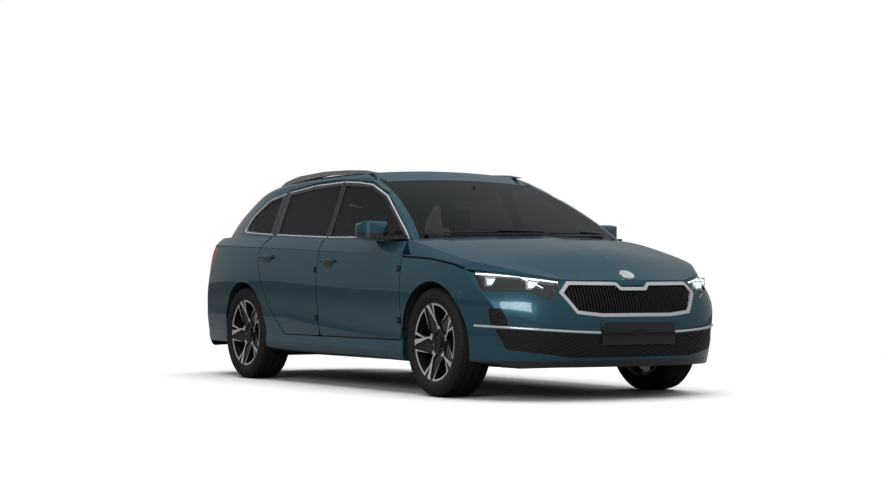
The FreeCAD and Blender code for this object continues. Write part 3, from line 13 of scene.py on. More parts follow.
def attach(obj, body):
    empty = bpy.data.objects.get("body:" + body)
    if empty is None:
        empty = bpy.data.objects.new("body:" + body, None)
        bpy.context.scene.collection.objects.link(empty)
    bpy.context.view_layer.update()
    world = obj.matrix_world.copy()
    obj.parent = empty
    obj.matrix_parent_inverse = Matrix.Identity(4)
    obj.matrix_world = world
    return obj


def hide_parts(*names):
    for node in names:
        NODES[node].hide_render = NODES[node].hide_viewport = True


bl_info = {
    "name": "Station wagon looks",
    "version": (1, 0, 0),
    "blender": (4, 5, 0),
    "location": "View3D > Sidebar > Wagon",
    "description": "Materials, trim, lamps, padded seats and studio for the station wagon",
    "category": "Object",
}

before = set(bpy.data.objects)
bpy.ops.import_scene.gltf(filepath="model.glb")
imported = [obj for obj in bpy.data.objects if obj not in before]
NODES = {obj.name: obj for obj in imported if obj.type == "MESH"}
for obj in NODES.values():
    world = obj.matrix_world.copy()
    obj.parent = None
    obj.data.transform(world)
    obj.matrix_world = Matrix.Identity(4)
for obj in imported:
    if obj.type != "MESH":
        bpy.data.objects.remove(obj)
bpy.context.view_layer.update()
SIDES = (("right", -1.0), ("left", 1.0))

# Places on the CAD frame, in metres.
FRONT_AXLE = Vector((1.469, 0.0, 0.330))
REAR_AXLE = Vector((-1.217, 0.0, 0.330))
WHEEL_MIDDLE = 0.770
TRIM_LINE = {
    "front_door": [(-0.030, 0.993), (0.480, 0.981), (1.000, 0.966), (1.030, 0.968), (0.990, 0.996),
                   (0.545, 1.252), (0.300, 1.336), (0.100, 1.360), (-0.078, 1.370)],
    "rear_door_base": [(-0.052, 0.994), (-0.845, 1.028)],
    "rear_door_top": [(-0.100, 1.370), (-0.520, 1.364), (-0.902, 1.333)],
    "quarter": [(-0.925, 1.031), (-1.400, 1.058), (-1.462, 1.066), (-1.468, 1.084), (-1.385, 1.180),
                (-1.190, 1.290), (-0.958, 1.328)],
}
PLATE_AT = Vector((2.3458, 0.0, 0.391))
PLATE_HALF = (0.262, 0.0655)
TAILGATE_EDGE = [(0.560, 0.600), (0.560, 0.655), (0.575, 0.800), (0.610, 0.960), (0.560, 1.110),
                 (0.425, 1.290), (0.410, 1.500)]
WINDOW_BAND = [(1.022, 0.964), (0.545, 1.252), (0.300, 1.336), (-0.075, 1.371), (-0.520, 1.368),
               (-0.960, 1.332), (-1.180, 1.292), (-1.380, 1.180), (-1.475, 1.078), (-1.420, 1.058),
               (-0.845, 1.028), (-0.030, 0.993)]
BADGE_Z = 0.728
STRIP_Y = (0.268, 0.845)  # inner and outer end of the bumper strip
HANDLE_PLACES = (("front", 0.134, 0.830), ("rear", -0.801, 0.868))
LAMP_STRIPS = (((0.828, 0.740), (0.655, 0.722)), ((0.640, 0.712), (0.470, 0.688)),
               ((0.655, 0.722), (0.560, 0.655)), ((0.862, 0.735), (0.835, 0.668)))
LAMP_MODULES = ((0.765, 0.692), (0.600, 0.672))
WIPER_ENDS = (("right", -0.62, 0.02), ("left", 0.05, 0.62))
ARCH_REACH = 0.3665  # radius of the front arch
BUMPER_TOP, BUMPER_EDGE = 0.6415, 1.7803
LAMP_WALL_Y, LAMP_ROW_Z = 0.745, 0.822  # a row across the tail lamp, whose bend the low corner follows
SEAT_Y = 0.370
EYE = Vector((11.145, -6.584, 0.668))
EYE_YAW, EYE_PITCH = math.radians(149.25), math.radians(1.16)


# ---------------------------------------------------------------- settings
def tint(name, description, default):
    return FloatVectorProperty(name=name, description=description, subtype="COLOR", size=3, min=0, max=1,
                               default=default)


def share(name, description, default):
    return FloatProperty(name=name, description=description, subtype="FACTOR", min=0, max=1, default=default)


def measure(name, description, default):
    return FloatProperty(name=name, description=description, subtype="DISTANCE", unit="LENGTH", min=0.001,
                         default=default)


def power(name, description, default):
    return FloatProperty(name=name, description=description, unit="POWER", min=0, default=default)


class WAGON_PG_finish(PropertyGroup):
    paint_color: tint("Paint", "Base colour of the body paint", (0.020, 0.088, 0.125))
    paint_metal: share("Paint metal", "How metallic the body paint is", 0.60)
    trim_color: tint("Bright trim", "Colour of the satin bright trim", (0.80, 0.80, 0.80))
    gloss_black: tint("Gloss black", "Colour of the gloss black pieces", (0.008, 0.008, 0.009))
    glass_alpha: share("Side glass", "How dark the side glass is", 0.80)
    screen_alpha: share("Windscreen", "How dark the windscreen is", 0.62)
    cloth_color: tint("Seat cloth", "Colour of the seat cloth", (0.020, 0.020, 0.023))


class WAGON_PG_trim(PropertyGroup):
    window_trim: measure("Window trim", "Half width of the bright window line", 0.0052)
    handle_length: measure("Handle length", "Length of a door handle", 0.190)
    badge_size: measure("Badge disc", "Diameter of the bare bonnet disc", 0.094)
    disc_radius: measure("Brake disc", "Radius of a brake disc", 0.150)


class WAGON_PG_stage(PropertyGroup):
    floor_color: tint("Floor", "Colour of the floor", (0.86, 0.86, 0.86))
    key_power: power("Overhead", "Power of the overhead softbox", 1000.0)
    side_power: power("Side", "Power of the side softboxes", 260.0)
    lens: FloatProperty(name="Lens", description="Focal length of the camera", subtype="DISTANCE_CAMERA",
                        unit="CAMERA", min=10, default=76.4)


def finish_settings():
    return bpy.context.scene.wagon_finish


def trim_settings():
    return bpy.context.scene.wagon_trim


# ---------------------------------------------------------------- node helpers
def put(tree, kind, inputs=None, **settings):
    """A new node with its settings, its inputs linked or given values."""
    item = tree.nodes.new(kind)
    for name, value in settings.items():
        setattr(item, name, value)
    for key, value in (inputs or {}).items():
        if isinstance(value, NodeSocket):
            tree.links.new(value, item.inputs[key])
        else:
            item.inputs[key].default_value = value
    return item


def math_node(tree, operation, *values):
    return put(tree, "ShaderNodeMath", dict(enumerate(values)), operation=operation).outputs[0]


def ramp(tree, value, low, high):
    """A smooth step from 0 at low to 1 at high."""
    inputs = {"Value": value, "From Min": low, "From Max": high}
    return put(tree, "ShaderNodeMapRange", inputs, interpolation_type="SMOOTHSTEP").outputs["Result"]


def mix_color(tree, factor, a, b):
    item = put(tree, "ShaderNodeMix", data_type="RGBA")
    for socket, value in ((item.inputs["Factor"], factor), (item.inputs[6], a), (item.inputs[7], b)):
        if isinstance(value, NodeSocket):
            tree.links.new(value, socket)
        else:
            socket.default_value = value if isinstance(value, float) else (*value, 1.0)[:4]
    return item.outputs[2]


def mix_value(tree, factor, a, b):
    item = put(tree, "ShaderNodeMix", {0: factor, 2: a, 3: b}, data_type="FLOAT")
    return item.outputs[0]


def new_group(name, inputs, outputs):
    """An empty shader node group: inputs are (label, kind, value), outputs are labels of floats."""
    tree = bpy.data.node_groups.new(name, "ShaderNodeTree")
    for label, kind, value in inputs:
        socket = tree.interface.new_socket(label, in_out="INPUT", socket_type=f"NodeSocket{kind}")
        if value is not None:
            socket.default_value = value
    for label in outputs:
        tree.interface.new_socket(label, in_out="OUTPUT", socket_type="NodeSocketFloat")
    return tree, tree.nodes.new("NodeGroupInput").outputs, tree.nodes.new("NodeGroupOutput").inputs


def use_group(tree, name, **inputs):
    """A group's outputs; underscores in the inputs' names stand for spaces."""
    named = {key.replace("_", " "): value for key, value in inputs.items()}
    return put(tree, "ShaderNodeGroup", named, node_tree=bpy.data.node_groups[name]).outputs


def split(tree, vector):
    return put(tree, "ShaderNodeSeparateXYZ", {0: vector}).outputs


def vector_math(tree, operation, *values):
    return put(tree, "ShaderNodeVectorMath", dict(enumerate(values)), operation=operation).outputs


def build_grain():
    """Fine moulded or cast grain: a height and a slow mottling."""
    tree, start, end = new_group("surface_grain", [("Position", "Vector", None), ("Fine", "Float", 900.0),
                                                   ("Slow", "Float", 6.0)], ["Height", "Mottle"])
    for i, detail in enumerate((2.0, 3.0)):
        noise = put(tree, "ShaderNodeTexNoise", {"Vector": start[0], "Scale": start[i + 1], "Detail": detail})
        tree.links.new(noise.outputs["Fac"], end[i])


def build_window_band():
    """Where the glass line of the side is: gloss black between and round the panes."""
    tree, start, end = new_group("window_band", [("Position", "Vector", None)], ["Mask"])
    inside = None
    for (x0, z0), (x1, z1) in zip(WINDOW_BAND, WINDOW_BAND[1:] + WINDOW_BAND[:1]):
        length = math.hypot(x1 - x0, z1 - z0)
        normal = (-(z1 - z0) / length, 0.0, (x1 - x0) / length)
        dot = vector_math(tree, "DOT_PRODUCT", start[0], normal)["Value"]
        away = math_node(tree, "SUBTRACT", dot, normal[0] * x0 + normal[2] * z0)
        inside = away if inside is None else math_node(tree, "MINIMUM", inside, away)
    tree.links.new(ramp(tree, inside, -0.0005, 0.0005), end[0])


def build_facing():
    """How far a surface faces a direction: 1 where it does."""
    tree, start, end = new_group("facing", [("Normal", "Vector", None),
                                            ("Direction", "Vector", (0.0, 0.0, -1.0)),
                                            ("Edge", "Float", 0.3)], ["Mask"])
    dot = vector_math(tree, "DOT_PRODUCT", start[0], start[1])["Value"]
    tree.links.new(ramp(tree, math_node(tree, "SUBTRACT", dot, start[2]), -0.02, 0.02), end[0])


def build_inboard():
    """Where a side panel faces the cabin."""
    tree, start, end = new_group("facing_inboard", [("Position", "Vector", None), ("Normal", "Vector", None)],
                                 ["Mask"])
    side = math_node(tree, "SIGN", split(tree, start[0])[1])
    out = math_node(tree, "MULTIPLY", side, split(tree, start[1])[1])
    tree.links.new(ramp(tree, out, -0.28, -0.32), end[0])


def build_wheel_places():
    """Radius and angle round an axle, and how far outboard of the wheel's middle."""
    tree, start, end = new_group("wheel_places", [("Position", "Vector", None), ("Axle X", "Float", 0.0)],
                                 ["Radius", "Angle", "Out"])
    place = split(tree, start[0])
    dx = math_node(tree, "SUBTRACT", place[0], start[1])
    dz = math_node(tree, "SUBTRACT", place[2], FRONT_AXLE.z)
    square = math_node(tree, "MULTIPLY_ADD", dx, dx, math_node(tree, "MULTIPLY", dz, dz))
    tree.links.new(math_node(tree, "SQRT", square), end[0])
    tree.links.new(math_node(tree, "DEGREES", math_node(tree, "ARCTAN2", dz, dx)), end[1])
    tree.links.new(math_node(tree, "SUBTRACT", math_node(tree, "ABSOLUTE", place[1]), WHEEL_MIDDLE), end[2])


def build_weave():
    """Woven cloth: crossing threads as a height and a thread mask."""
    tree, start, end = new_group("cloth_weave", [("Position", "Vector", None), ("Pitch", "Float", 0.0022)],
                                 ["Height", "Thread"])
    place = split(tree, start[0])
    turns = math_node(tree, "DIVIDE", 2 * math.pi, start[1])
    across = math_node(tree, "SINE", math_node(tree, "MULTIPLY", place[1], turns))
    along = math_node(tree, "MULTIPLY", math_node(tree, "ADD", place[0], place[2]), turns)
    height = math_node(tree, "MULTIPLY", across, math_node(tree, "SINE", along))
    tree.links.new(ramp(tree, height, -1.0, 1.0), end[0])
    tree.links.new(ramp(tree, height, -0.2, 0.2), end[1])


GROUP_BUILDERS = (build_grain, build_window_band, build_facing, build_inboard, build_wheel_places,
                  build_weave)


def new_material(name):
    """A material with object coordinates; returns tree, shader, position, normal."""
    material = bpy.data.materials.new(name)
    material.use_nodes = True
    tree = material.node_tree
    shader = tree.nodes["Principled BSDF"]
    position = tree.nodes.new("ShaderNodeTexCoord").outputs["Object"]
    normal = tree.nodes.new("ShaderNodeNewGeometry").outputs["Normal"]
    return material, tree, shader, position, normal


def feed(tree, shader, **sockets):
    for name, value in sockets.items():
        socket = shader.inputs[name.replace("_", " ")]
        if isinstance(value, NodeSocket):
            tree.links.new(value, socket)
        elif hasattr(value, "__len__"):
            socket.default_value = (*value, 1.0)[:4]
        else:
            socket.default_value = value


def bump(tree, shader, height, distance, strength=1.0):
    item = put(tree, "ShaderNodeBump", {"Height": height, "Distance": distance, "Strength": strength})
    tree.links.new(item.outputs["Normal"], shader.inputs["Normal"])


def simple(name, color, rough, metal=0.0, coat=0.0, fine=900.0, depth=0.00005, spread=0.12, shade=0.15):
    """A plain moulded, cast or painted finish with grain in its roughness, colour and bump."""
    material, tree, shader, position, _ = new_material(name)
    grain = use_group(tree, "surface_grain", Position=position, Fine=fine, Slow=9.0)
    darker = tuple(c * (1 - shade) for c in color)
    lighter = tuple(min(1.0, c * (1 + shade)) for c in color)
    feed(tree, shader, Base_Color=mix_color(tree, grain["Mottle"], darker, lighter), Metallic=metal,
         Roughness=mix_value(tree, grain["Mottle"], max(0.02, rough - spread / 2), rough + spread / 2),
         Coat_Weight=coat, Coat_Roughness=0.04)
    bump(tree, shader, grain["Height"], depth)
    return material


def paint(name, inner, inner_color, band=False, below=None, plate=False):
    """Metallic body paint outside; the side turned to the cabin or bay is trimmed.

    band blackens the window line, below what lies under that height, and plate the plate's place.
    """
    settings = finish_settings()
    base = tuple(settings.paint_color)
    material, tree, shader, position, normal = new_material(name)
    grain = use_group(tree, "surface_grain", Position=position, Fine=2600.0, Slow=1.5)
    flake = ramp(tree, grain["Height"], 0.40, 0.62)
    color = mix_color(tree, flake, tuple(c * 0.80 for c in base), tuple(min(1, c * 1.28) for c in base))
    rough = mix_value(tree, grain["Mottle"], 0.27, 0.33)
    metal = settings.paint_metal
    coat = 1.0
    blackened = []
    if band:
        blackened.append((use_group(tree, "window_band", Position=position)["Mask"], 0.10))
    if below is not None:
        blackened.append((ramp(tree, split(tree, position)[2], below + 0.001, below - 0.001), 0.35))
    if plate:
        off = vector_math(tree, "SUBTRACT", position, (0.0, PLATE_AT.y, PLATE_AT.z))[0]
        off = split(tree, vector_math(tree, "ABSOLUTE", off)[0])
        sides = [ramp(tree, off[i + 1], half, half - 0.001) for i, half in enumerate(PLATE_HALF)]
        blackened.append((math_node(tree, "MULTIPLY", *sides), None))
    for mask, gloss in blackened:
        color = mix_color(tree, mask, color, tuple(settings.gloss_black))
        metal = mix_value(tree, mask, metal, 0.0)
        if gloss is not None:
            rough = mix_value(tree, mask, rough, gloss)
    if inner is not None:
        if inner == "inboard":
            back = use_group(tree, "facing_inboard", Position=position, Normal=normal)["Mask"]
        else:
            back = use_group(tree, "facing", Normal=normal, Direction=inner, Edge=0.3)["Mask"]
        color = mix_color(tree, back, color, inner_color)
        rough = mix_value(tree, back, rough, 0.72)
        metal = mix_value(tree, back, metal, 0.0)
        coat = mix_value(tree, back, 1.0, 0.0)
    feed(tree, shader, Base_Color=color, Roughness=rough, Metallic=metal, Coat_Weight=coat,
         Coat_Roughness=0.03)
    return material


def glass(name, alpha, color):
    """Tinted glass: a dark film with a mirror-smooth face."""
    material, tree, shader, position, _ = new_material(name)
    grain = use_group(tree, "surface_grain", Position=position, Fine=40.0, Slow=1.2)
    feed(tree, shader, Base_Color=color, Roughness=mix_value(tree, grain["Mottle"], 0.0, 0.03), IOR=1.5,
         Alpha=alpha, Specular_IOR_Level=0.22)
    material.surface_render_method = "BLENDED"
    return material


def rim_material(name, axle_x):
    """Two-tone wheel: machined faces over gloss black."""
    material, tree, shader, position, normal = new_material(name)
    places = use_group(tree, "wheel_places", Position=position, Axle_X=axle_x)
    radius, angle, out = places["Radius"], places["Angle"], places["Out"]
    side = math_node(tree, "SIGN", split(tree, position)[1])
    facing = math_node(tree, "MULTIPLY", side, split(tree, normal)[1])
    level = math_node(tree, "MULTIPLY_ADD", radius, 0.2, 0.0518)
    front = math_node(tree, "GREATER_THAN", out, level)
    for test, value, limit in (("GREATER_THAN", facing, 0.75), ("GREATER_THAN", radius, 0.080),
                               ("LESS_THAN", radius, 0.2345)):
        front = math_node(tree, "MULTIPLY", front, math_node(tree, test, value, limit))
    step = math_node(tree, "FLOORED_MODULO", math_node(tree, "SUBTRACT", angle, 48.0), 72.0)
    arc = math_node(tree, "LESS_THAN", step, 50.0)
    arm = math_node(tree, "MULTIPLY", math_node(tree, "GREATER_THAN", step, 57.0),
                    math_node(tree, "LESS_THAN", step, 66.0))
    kept = math_node(tree, "MAXIMUM", arc, arm)
    inner = math_node(tree, "LESS_THAN", radius, 0.2215)
    front = math_node(tree, "MULTIPLY", front, math_node(tree, "MAXIMUM", kept, inner))
    grain = use_group(tree, "surface_grain", Position=position, Fine=1400.0, Slow=12.0)
    silver = mix_color(tree, grain["Mottle"], (0.66, 0.67, 0.68), (0.82, 0.83, 0.84))
    feed(tree, shader, Base_Color=mix_color(tree, front, (0.010, 0.010, 0.011), silver),
         Metallic=mix_value(tree, front, 0.0, 0.55), Roughness=mix_value(tree, front, 0.22, 0.30),
         Coat_Weight=0.35, Coat_Roughness=0.05)
    lines = math_node(tree, "SINE", math_node(tree, "MULTIPLY", radius, 9000.0))
    bump(tree, shader, math_node(tree, "MULTIPLY", lines, front), 0.00002, 0.5)
    return material


def tyre_material(name, axle_x):
    """Rubber with sidewall rings and grooves round and across the tread; the grooves are painted near black
    as shade.
    """
    material, tree, shader, position, _ = new_material(name)
    places = use_group(tree, "wheel_places", Position=position, Axle_X=axle_x)
    radius, angle, out = places["Radius"], places["Angle"], places["Out"]
    grain = use_group(tree, "surface_grain", Position=position, Fine=1200.0, Slow=10.0)
    tread = ramp(tree, radius, 0.318, 0.323)
    ring = math_node(tree, "PINGPONG", out, 0.027)
    groove = ramp(tree, ring, 0.0050, 0.0030)
    skew = math_node(tree, "MULTIPLY_ADD", out, 90.0, angle)
    cut = math_node(tree, "PINGPONG", skew, 2.4)
    sipe = math_node(tree, "MULTIPLY", ramp(tree, cut, 0.34, 0.20),
                     ramp(tree, math_node(tree, "ABSOLUTE", out), 0.060, 0.066))
    shaded_grooves = math_node(tree, "MAXIMUM", groove, sipe)
    shaded_grooves = math_node(tree, "MULTIPLY", shaded_grooves, tread)
    ribs = math_node(tree, "PINGPONG", radius, 0.012)
    rib = math_node(tree, "MULTIPLY", ramp(tree, ribs, 0.0015, 0.0),
                    ramp(tree, radius, 0.310, 0.306))
    color = mix_color(tree, grain["Mottle"], (0.012, 0.012, 0.012), (0.024, 0.023, 0.022))
    # painted shade: the grooves and sipes get a near-black colour
    color = mix_color(tree, shaded_grooves, color, (0.002, 0.002, 0.002))
    feed(tree, shader, Base_Color=color, Roughness=mix_value(tree, grain["Mottle"], 0.62, 0.78),
         Specular_IOR_Level=0.22)
    height = math_node(tree, "SUBTRACT", math_node(tree, "MULTIPLY", rib, 0.12), shaded_grooves)
    bump(tree, shader, height, 0.006, 0.9)
    return material


def mesh_material(name):
    """Diamond mesh of the lower grille: gloss bars over holes painted near black as the shade behind them."""
    material, tree, shader, position, _ = new_material(name)
    place = split(tree, position)
    width = place[1]
    height = math_node(tree, "MULTIPLY", place[2], 2.1)
    bars = None
    for sign in (1.0, -1.0):
        lean = math_node(tree, "MULTIPLY_ADD", height, sign, width)
        line = ramp(tree, math_node(tree, "PINGPONG", lean, 0.026), 0.0062, 0.0032)
        bars = line if bars is None else math_node(tree, "MAXIMUM", bars, line)
    grain = use_group(tree, "surface_grain", Position=position, Fine=700.0, Slow=8.0)
    # painted shade: the holes between the bars are near black, the bars a little lighter
    color = mix_color(tree, bars, (0.0015, 0.0015, 0.0016), (0.022, 0.022, 0.025))
    feed(tree, shader, Base_Color=color, Roughness=mix_value(tree, bars, 0.75, 0.24),
         Specular_IOR_Level=0.5)
    bump(tree, shader, math_node(tree, "MULTIPLY_ADD", grain["Height"], 0.02, bars), 0.008)
    return material


def lamp_material(name, color, glow, strength):
    """A lit lamp face with fine ribs."""
    material, tree, shader, position, _ = new_material(name)
    rib = ramp(tree, math_node(tree, "PINGPONG", split(tree, position)[1], 0.004), 0.0, 0.004)
    feed(tree, shader, Base_Color=mix_color(tree, rib, tuple(c * 0.85 for c in color), color), Roughness=0.15,
         Emission_Color=glow, Emission_Strength=strength)
    bump(tree, shader, rib, 0.0008)
    return material


def cloth_material(name):
    """Woven seat cloth with a soft sheen."""
    material, tree, shader, position, _ = new_material(name)
    weave = use_group(tree, "cloth_weave", Position=position, Pitch=0.0024)
    grain = use_group(tree, "surface_grain", Position=position, Fine=500.0, Slow=14.0)
    base = tuple(finish_settings().cloth_color)
    thread = mix_color(tree, weave["Thread"], base, tuple(min(1, c * 2.2) for c in base))
    color = mix_color(tree, grain["Mottle"], thread, tuple(c * 1.3 for c in base))
    feed(tree, shader, Base_Color=color, Roughness=0.9, Sheen_Weight=0.25, Sheen_Roughness=0.5)
    bump(tree, shader, weave["Height"], 0.0004)
    return material


MATERIALS = {}
SIMPLE_FINISHES = {
    "grained_black": ((0.016, 0.016, 0.017), 0.62, dict(fine=1500.0, depth=0.00012)),
    # the hinges are near black as painted shade in the shut gaps, not their own body colour
    "hinge_painted_shade": ((0.006, 0.008, 0.010), 0.55, {}),
    "soft_trim": ((0.020, 0.020, 0.022), 0.78, dict(fine=1100.0, depth=0.00015)),
    "underseal": ((0.014, 0.014, 0.015), 0.85, dict(fine=260.0, depth=0.0006)),
    "carpet": ((0.013, 0.013, 0.014), 0.98, dict(fine=700.0, depth=0.0012)),
    "steel": ((0.22, 0.22, 0.23), 0.42, dict(metal=0.9, fine=600.0)),
    "disc_steel": ((0.32, 0.32, 0.33), 0.32, dict(metal=1.0, fine=1500.0)),
    "alloy": ((0.36, 0.36, 0.37), 0.5, dict(metal=0.8, fine=220.0, depth=0.0004)),
    "rail_silver": ((0.45, 0.45, 0.46), 0.33, dict(metal=0.85, fine=1800.0)),
    "chrome": ((0.84, 0.84, 0.85), 0.14, dict(metal=0.6, depth=0.00001, spread=0.04, shade=0.04)),
    "red_lens": ((0.42, 0.012, 0.010), 0.10, dict(coat=0.8, depth=0.00001)),
    "mirror_glass": ((0.7, 0.72, 0.74), 0.02, dict(metal=1.0, depth=0.0, spread=0.02)),
}


def make_materials():
    settings = finish_settings()
    for build in GROUP_BUILDERS:
        build()
    made = MATERIALS
    dark, pale, down = (0.014, 0.014, 0.015), (0.42, 0.41, 0.39), (0.0, 0.0, -1.0)
    for name, inner, color, options in (("side_paint", "inboard", dark, dict(band=True)),
                                        ("panel_paint", None, dark, {}),
                                        ("bumper_paint", None, dark, dict(below=0.236, plate=True)),
                                        ("mirror_paint", None, dark, dict(below=1.004)),
                                        ("roof_paint", down, pale, {}),
                                        ("bonnet_paint", down, (0.02, 0.02, 0.022), {}),
                                        ("tailgate_paint", (0.86, 0.0, -0.5), dark, {})):
        made[name] = paint(name, inner, color, **options)
    for name, (color, rough, options) in SIMPLE_FINISHES.items():
        made[name] = simple(name, color, rough, **options)
    made["gloss_black"] = simple("gloss_black", tuple(settings.gloss_black), 0.10, coat=0.6, depth=0.00001)
    made["satin_chrome"] = simple("satin_chrome", tuple(settings.trim_color), 0.26, metal=0.45, depth=0.00001,
                                  spread=0.05, shade=0.05)
    for name, alpha, color in (("side_glass", settings.glass_alpha, (0.010, 0.011, 0.012)),
                               ("screen_glass", settings.screen_alpha, (0.012, 0.014, 0.014)),
                               ("lens", 0.05, (0.30, 0.32, 0.33))):
        made[name] = glass(name, alpha, color)
    made["cloth"] = cloth_material("cloth")
    made["led_white"] = lamp_material("led_white", (0.95, 0.98, 1.0), (0.93, 0.97, 1.0), 1.6)
    made["led_module"] = lamp_material("led_module", (0.75, 0.95, 0.98), (0.62, 0.95, 1.0), 1.1)
    made["mesh"] = mesh_material("mesh")
    for row, axle in (("front", FRONT_AXLE), ("rear", REAR_AXLE)):
        made[f"{row}_rim"] = rim_material(f"{row}_rim", axle.x)
        made[f"{row}_tyre"] = tyre_material(f"{row}_tyre", axle.x)


NODE_FINISH = {
    "side_paint": ["body_side_right", "body_side_left", "front_door_right", "front_door_left",
                   "rear_door_right", "rear_door_left"],
    "panel_paint": ["rear_bumper", "front_fenders"],
    "bumper_paint": ["front_bumper"],
    "mirror_paint": ["door_mirror_right", "door_mirror_left"],
    "roof_paint": ["roof_panel"],
    "bonnet_paint": ["bonnet"],
    "tailgate_paint": ["tailgate"],
    "soft_trim": ["side_frames", "dashboard", "steering_wheel"],
    "carpet": ["floor_pan", "front_seats", "rear_seat"],
    "underseal": ["bulkhead", "wheelhouses", "tail_panel"],
    "grained_black": ["cowl"],
    "gloss_black": ["front_grille", "headlamps"],
    # painted shade: the hinges show near black through the shut gaps
    "hinge_painted_shade": ["lid_and_door_hinges"],
    "mesh": ["bumper_grilles"],
    "steel": ["front_subframe", "rear_axle", "front_knuckle_right", "front_knuckle_left", "exhaust"],
    "alloy": ["engine_block"],
    "side_glass": ["front_door_glass_right", "front_door_glass_left", "rear_door_glass_right",
                   "rear_door_glass_left", "tailgate_glass"],
    "screen_glass": ["fixed_windows"],
    "lens": ["headlamp_lenses"],
    "chrome": ["grille_surround"],
    "red_lens": ["tail_lamps"],
    "rail_silver": ["roof_rails"],
    "front_rim": ["front_rim_right", "front_rim_left"],
    "rear_rim": ["rear_rim_right", "rear_rim_left"],
    "front_tyre": ["front_tyre_right", "front_tyre_left"],
    "rear_tyre": ["rear_tyre_right", "rear_tyre_left"],
}


def dress_nodes():
    for finish, names in NODE_FINISH.items():
        for name in names:
            for slot in NODES[name].material_slots:
                slot.material = MATERIALS[finish]


# ---------------------------------------------------------------- shape helpers
def surface(*names):
    """A search tree over CAD nodes, to lay trim on their skin."""
    points, faces = [], []
    for name in names:
        mesh = NODES[name].data
        start = len(points)
        points.extend(v.co.copy() for v in mesh.vertices)
        faces.extend([start + i for i in p.vertices] for p in mesh.polygons)
    return BVHTree.FromPolygons(points, faces)


def side_hit(tree, x, z, side):
    """The skin's point at a station and height, seen from the side."""
    return tree.ray_cast(Vector((x, side * 1.6, z)), Vector((0.0, -side, 0.0)))[0]


def front_hit(tree, y, z):
    return tree.ray_cast(Vector((2.8, y, z)), Vector((-1.0, 0.0, 0.0)))[0]


def rear_hit(tree, y, z):
    return tree.ray_cast(Vector((-2.8, y, z)), Vector((1.0, 0.0, 0.0)))[0]


def rear_near(tree, side, y, z):
    """How far back the skin reaches near a place that may lie on a shut line."""
    for step in (0.0, -0.006, 0.006, -0.012, 0.012, -0.018, 0.018, -0.030, -0.050, -0.080):
        hit = rear_hit(tree, side * (y + step), z)
        if hit is not None:
            return hit.x
    return 0.0


def resample(corners, step):
    """Points a step apart along a run of corners."""
    out = [Vector(corners[0])]
    for a, b in zip(corners, corners[1:]):
        a, b = Vector(a), Vector(b)
        parts = max(1, round((b - a).length / step))
        out.extend(a.lerp(b, (i + 1) / parts) for i in range(parts))
    return out


def finish_piece(name, mesh, body, material, smooth=True):
    """A finished mesh as a piece on a body; its object stays at the origin."""
    obj = bpy.data.objects.new(name, mesh)
    bpy.context.scene.collection.objects.link(obj)
    mesh.materials.clear()
    mesh.materials.append(MATERIALS[material])
    if smooth:
        mesh.shade_smooth()
    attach(obj, body)
    return obj


def thicken(piece, thickness):
    """Wall behind a skin."""
    wall = piece.modifiers.new("wall", "SOLIDIFY")
    wall.thickness = thickness
    wall.offset = -1.0


def mesh_from(bm, name, recalculate=True):
    """The bmesh as a mesh, welded and with its normals outward where recalculate is set."""
    if recalculate:
        bmesh.ops.remove_doubles(bm, verts=bm.verts, dist=1e-6)
        bmesh.ops.recalc_face_normals(bm, faces=bm.faces)
    mesh = bpy.data.meshes.new(name)
    bm.to_mesh(mesh)
    bm.free()
    return mesh


def tube_along(name, points, radius, body, material):
    """A round bar along points."""
    curve = bpy.data.curves.new(name, "CURVE")
    curve.dimensions = "3D"
    curve.bevel_depth = radius
    curve.bevel_resolution = 3
    curve.use_fill_caps = True
    spline = curve.splines.new("POLY")
    spline.points.add(len(points) - 1)
    for point, place in zip(spline.points, points):
        point.co = (*place, 1.0)
    holder = bpy.data.objects.new(name + "_line", curve)
    bpy.context.scene.collection.objects.link(holder)
    mesh = bpy.data.meshes.new_from_object(holder.evaluated_get(bpy.context.evaluated_depsgraph_get()))
    bpy.data.objects.remove(holder)
    bpy.data.curves.remove(curve)
    mesh.name = name
    return finish_piece(name, mesh, body, material)


def block(size, place, bevel=0.004, segments=3, turn=None):
    """A bevelled block as a bmesh."""
    bm = bmesh.new()
    bmesh.ops.create_cube(bm, size=1.0)
    bmesh.ops.scale(bm, vec=size, verts=bm.verts)
    bmesh.ops.bevel(bm, geom=bm.edges, offset=bevel, segments=segments, profile=0.5, affect="EDGES",
                    material=-1)
    if turn is not None:
        bmesh.ops.transform(bm, matrix=turn, verts=bm.verts)
    bmesh.ops.translate(bm, vec=place, verts=bm.verts)
    return bm


def turned(profile, place, axis, steps=48):
    """A turned shape from (along, radius) points, spun round an axis through a place."""
    bm = bmesh.new()
    verts = [bm.verts.new((r, 0.0, a)) for a, r in profile]
    edges = [bm.edges.new(pair) for pair in zip(verts, verts[1:])]
    bmesh.ops.spin(bm, geom=verts + edges, cent=(0, 0, 0), axis=(0, 0, 1), angle=2 * math.pi, steps=steps,
                   use_merge=True, use_duplicate=False)
    bmesh.ops.remove_doubles(bm, verts=bm.verts, dist=1e-6)
    turn = Vector((0, 0, 1)).rotation_difference(Vector(axis)).to_matrix().to_4x4()
    bmesh.ops.transform(bm, matrix=Matrix.Translation(place) @ turn, verts=bm.verts)
    return bm


def merge(*parts):
    """Several bmeshes as one."""
    out = bmesh.new()
    for part in parts:
        mesh = bpy.data.meshes.new("part")
        part.to_mesh(mesh)
        part.free()
        out.from_mesh(mesh)
        bpy.data.meshes.remove(mesh)
    return out


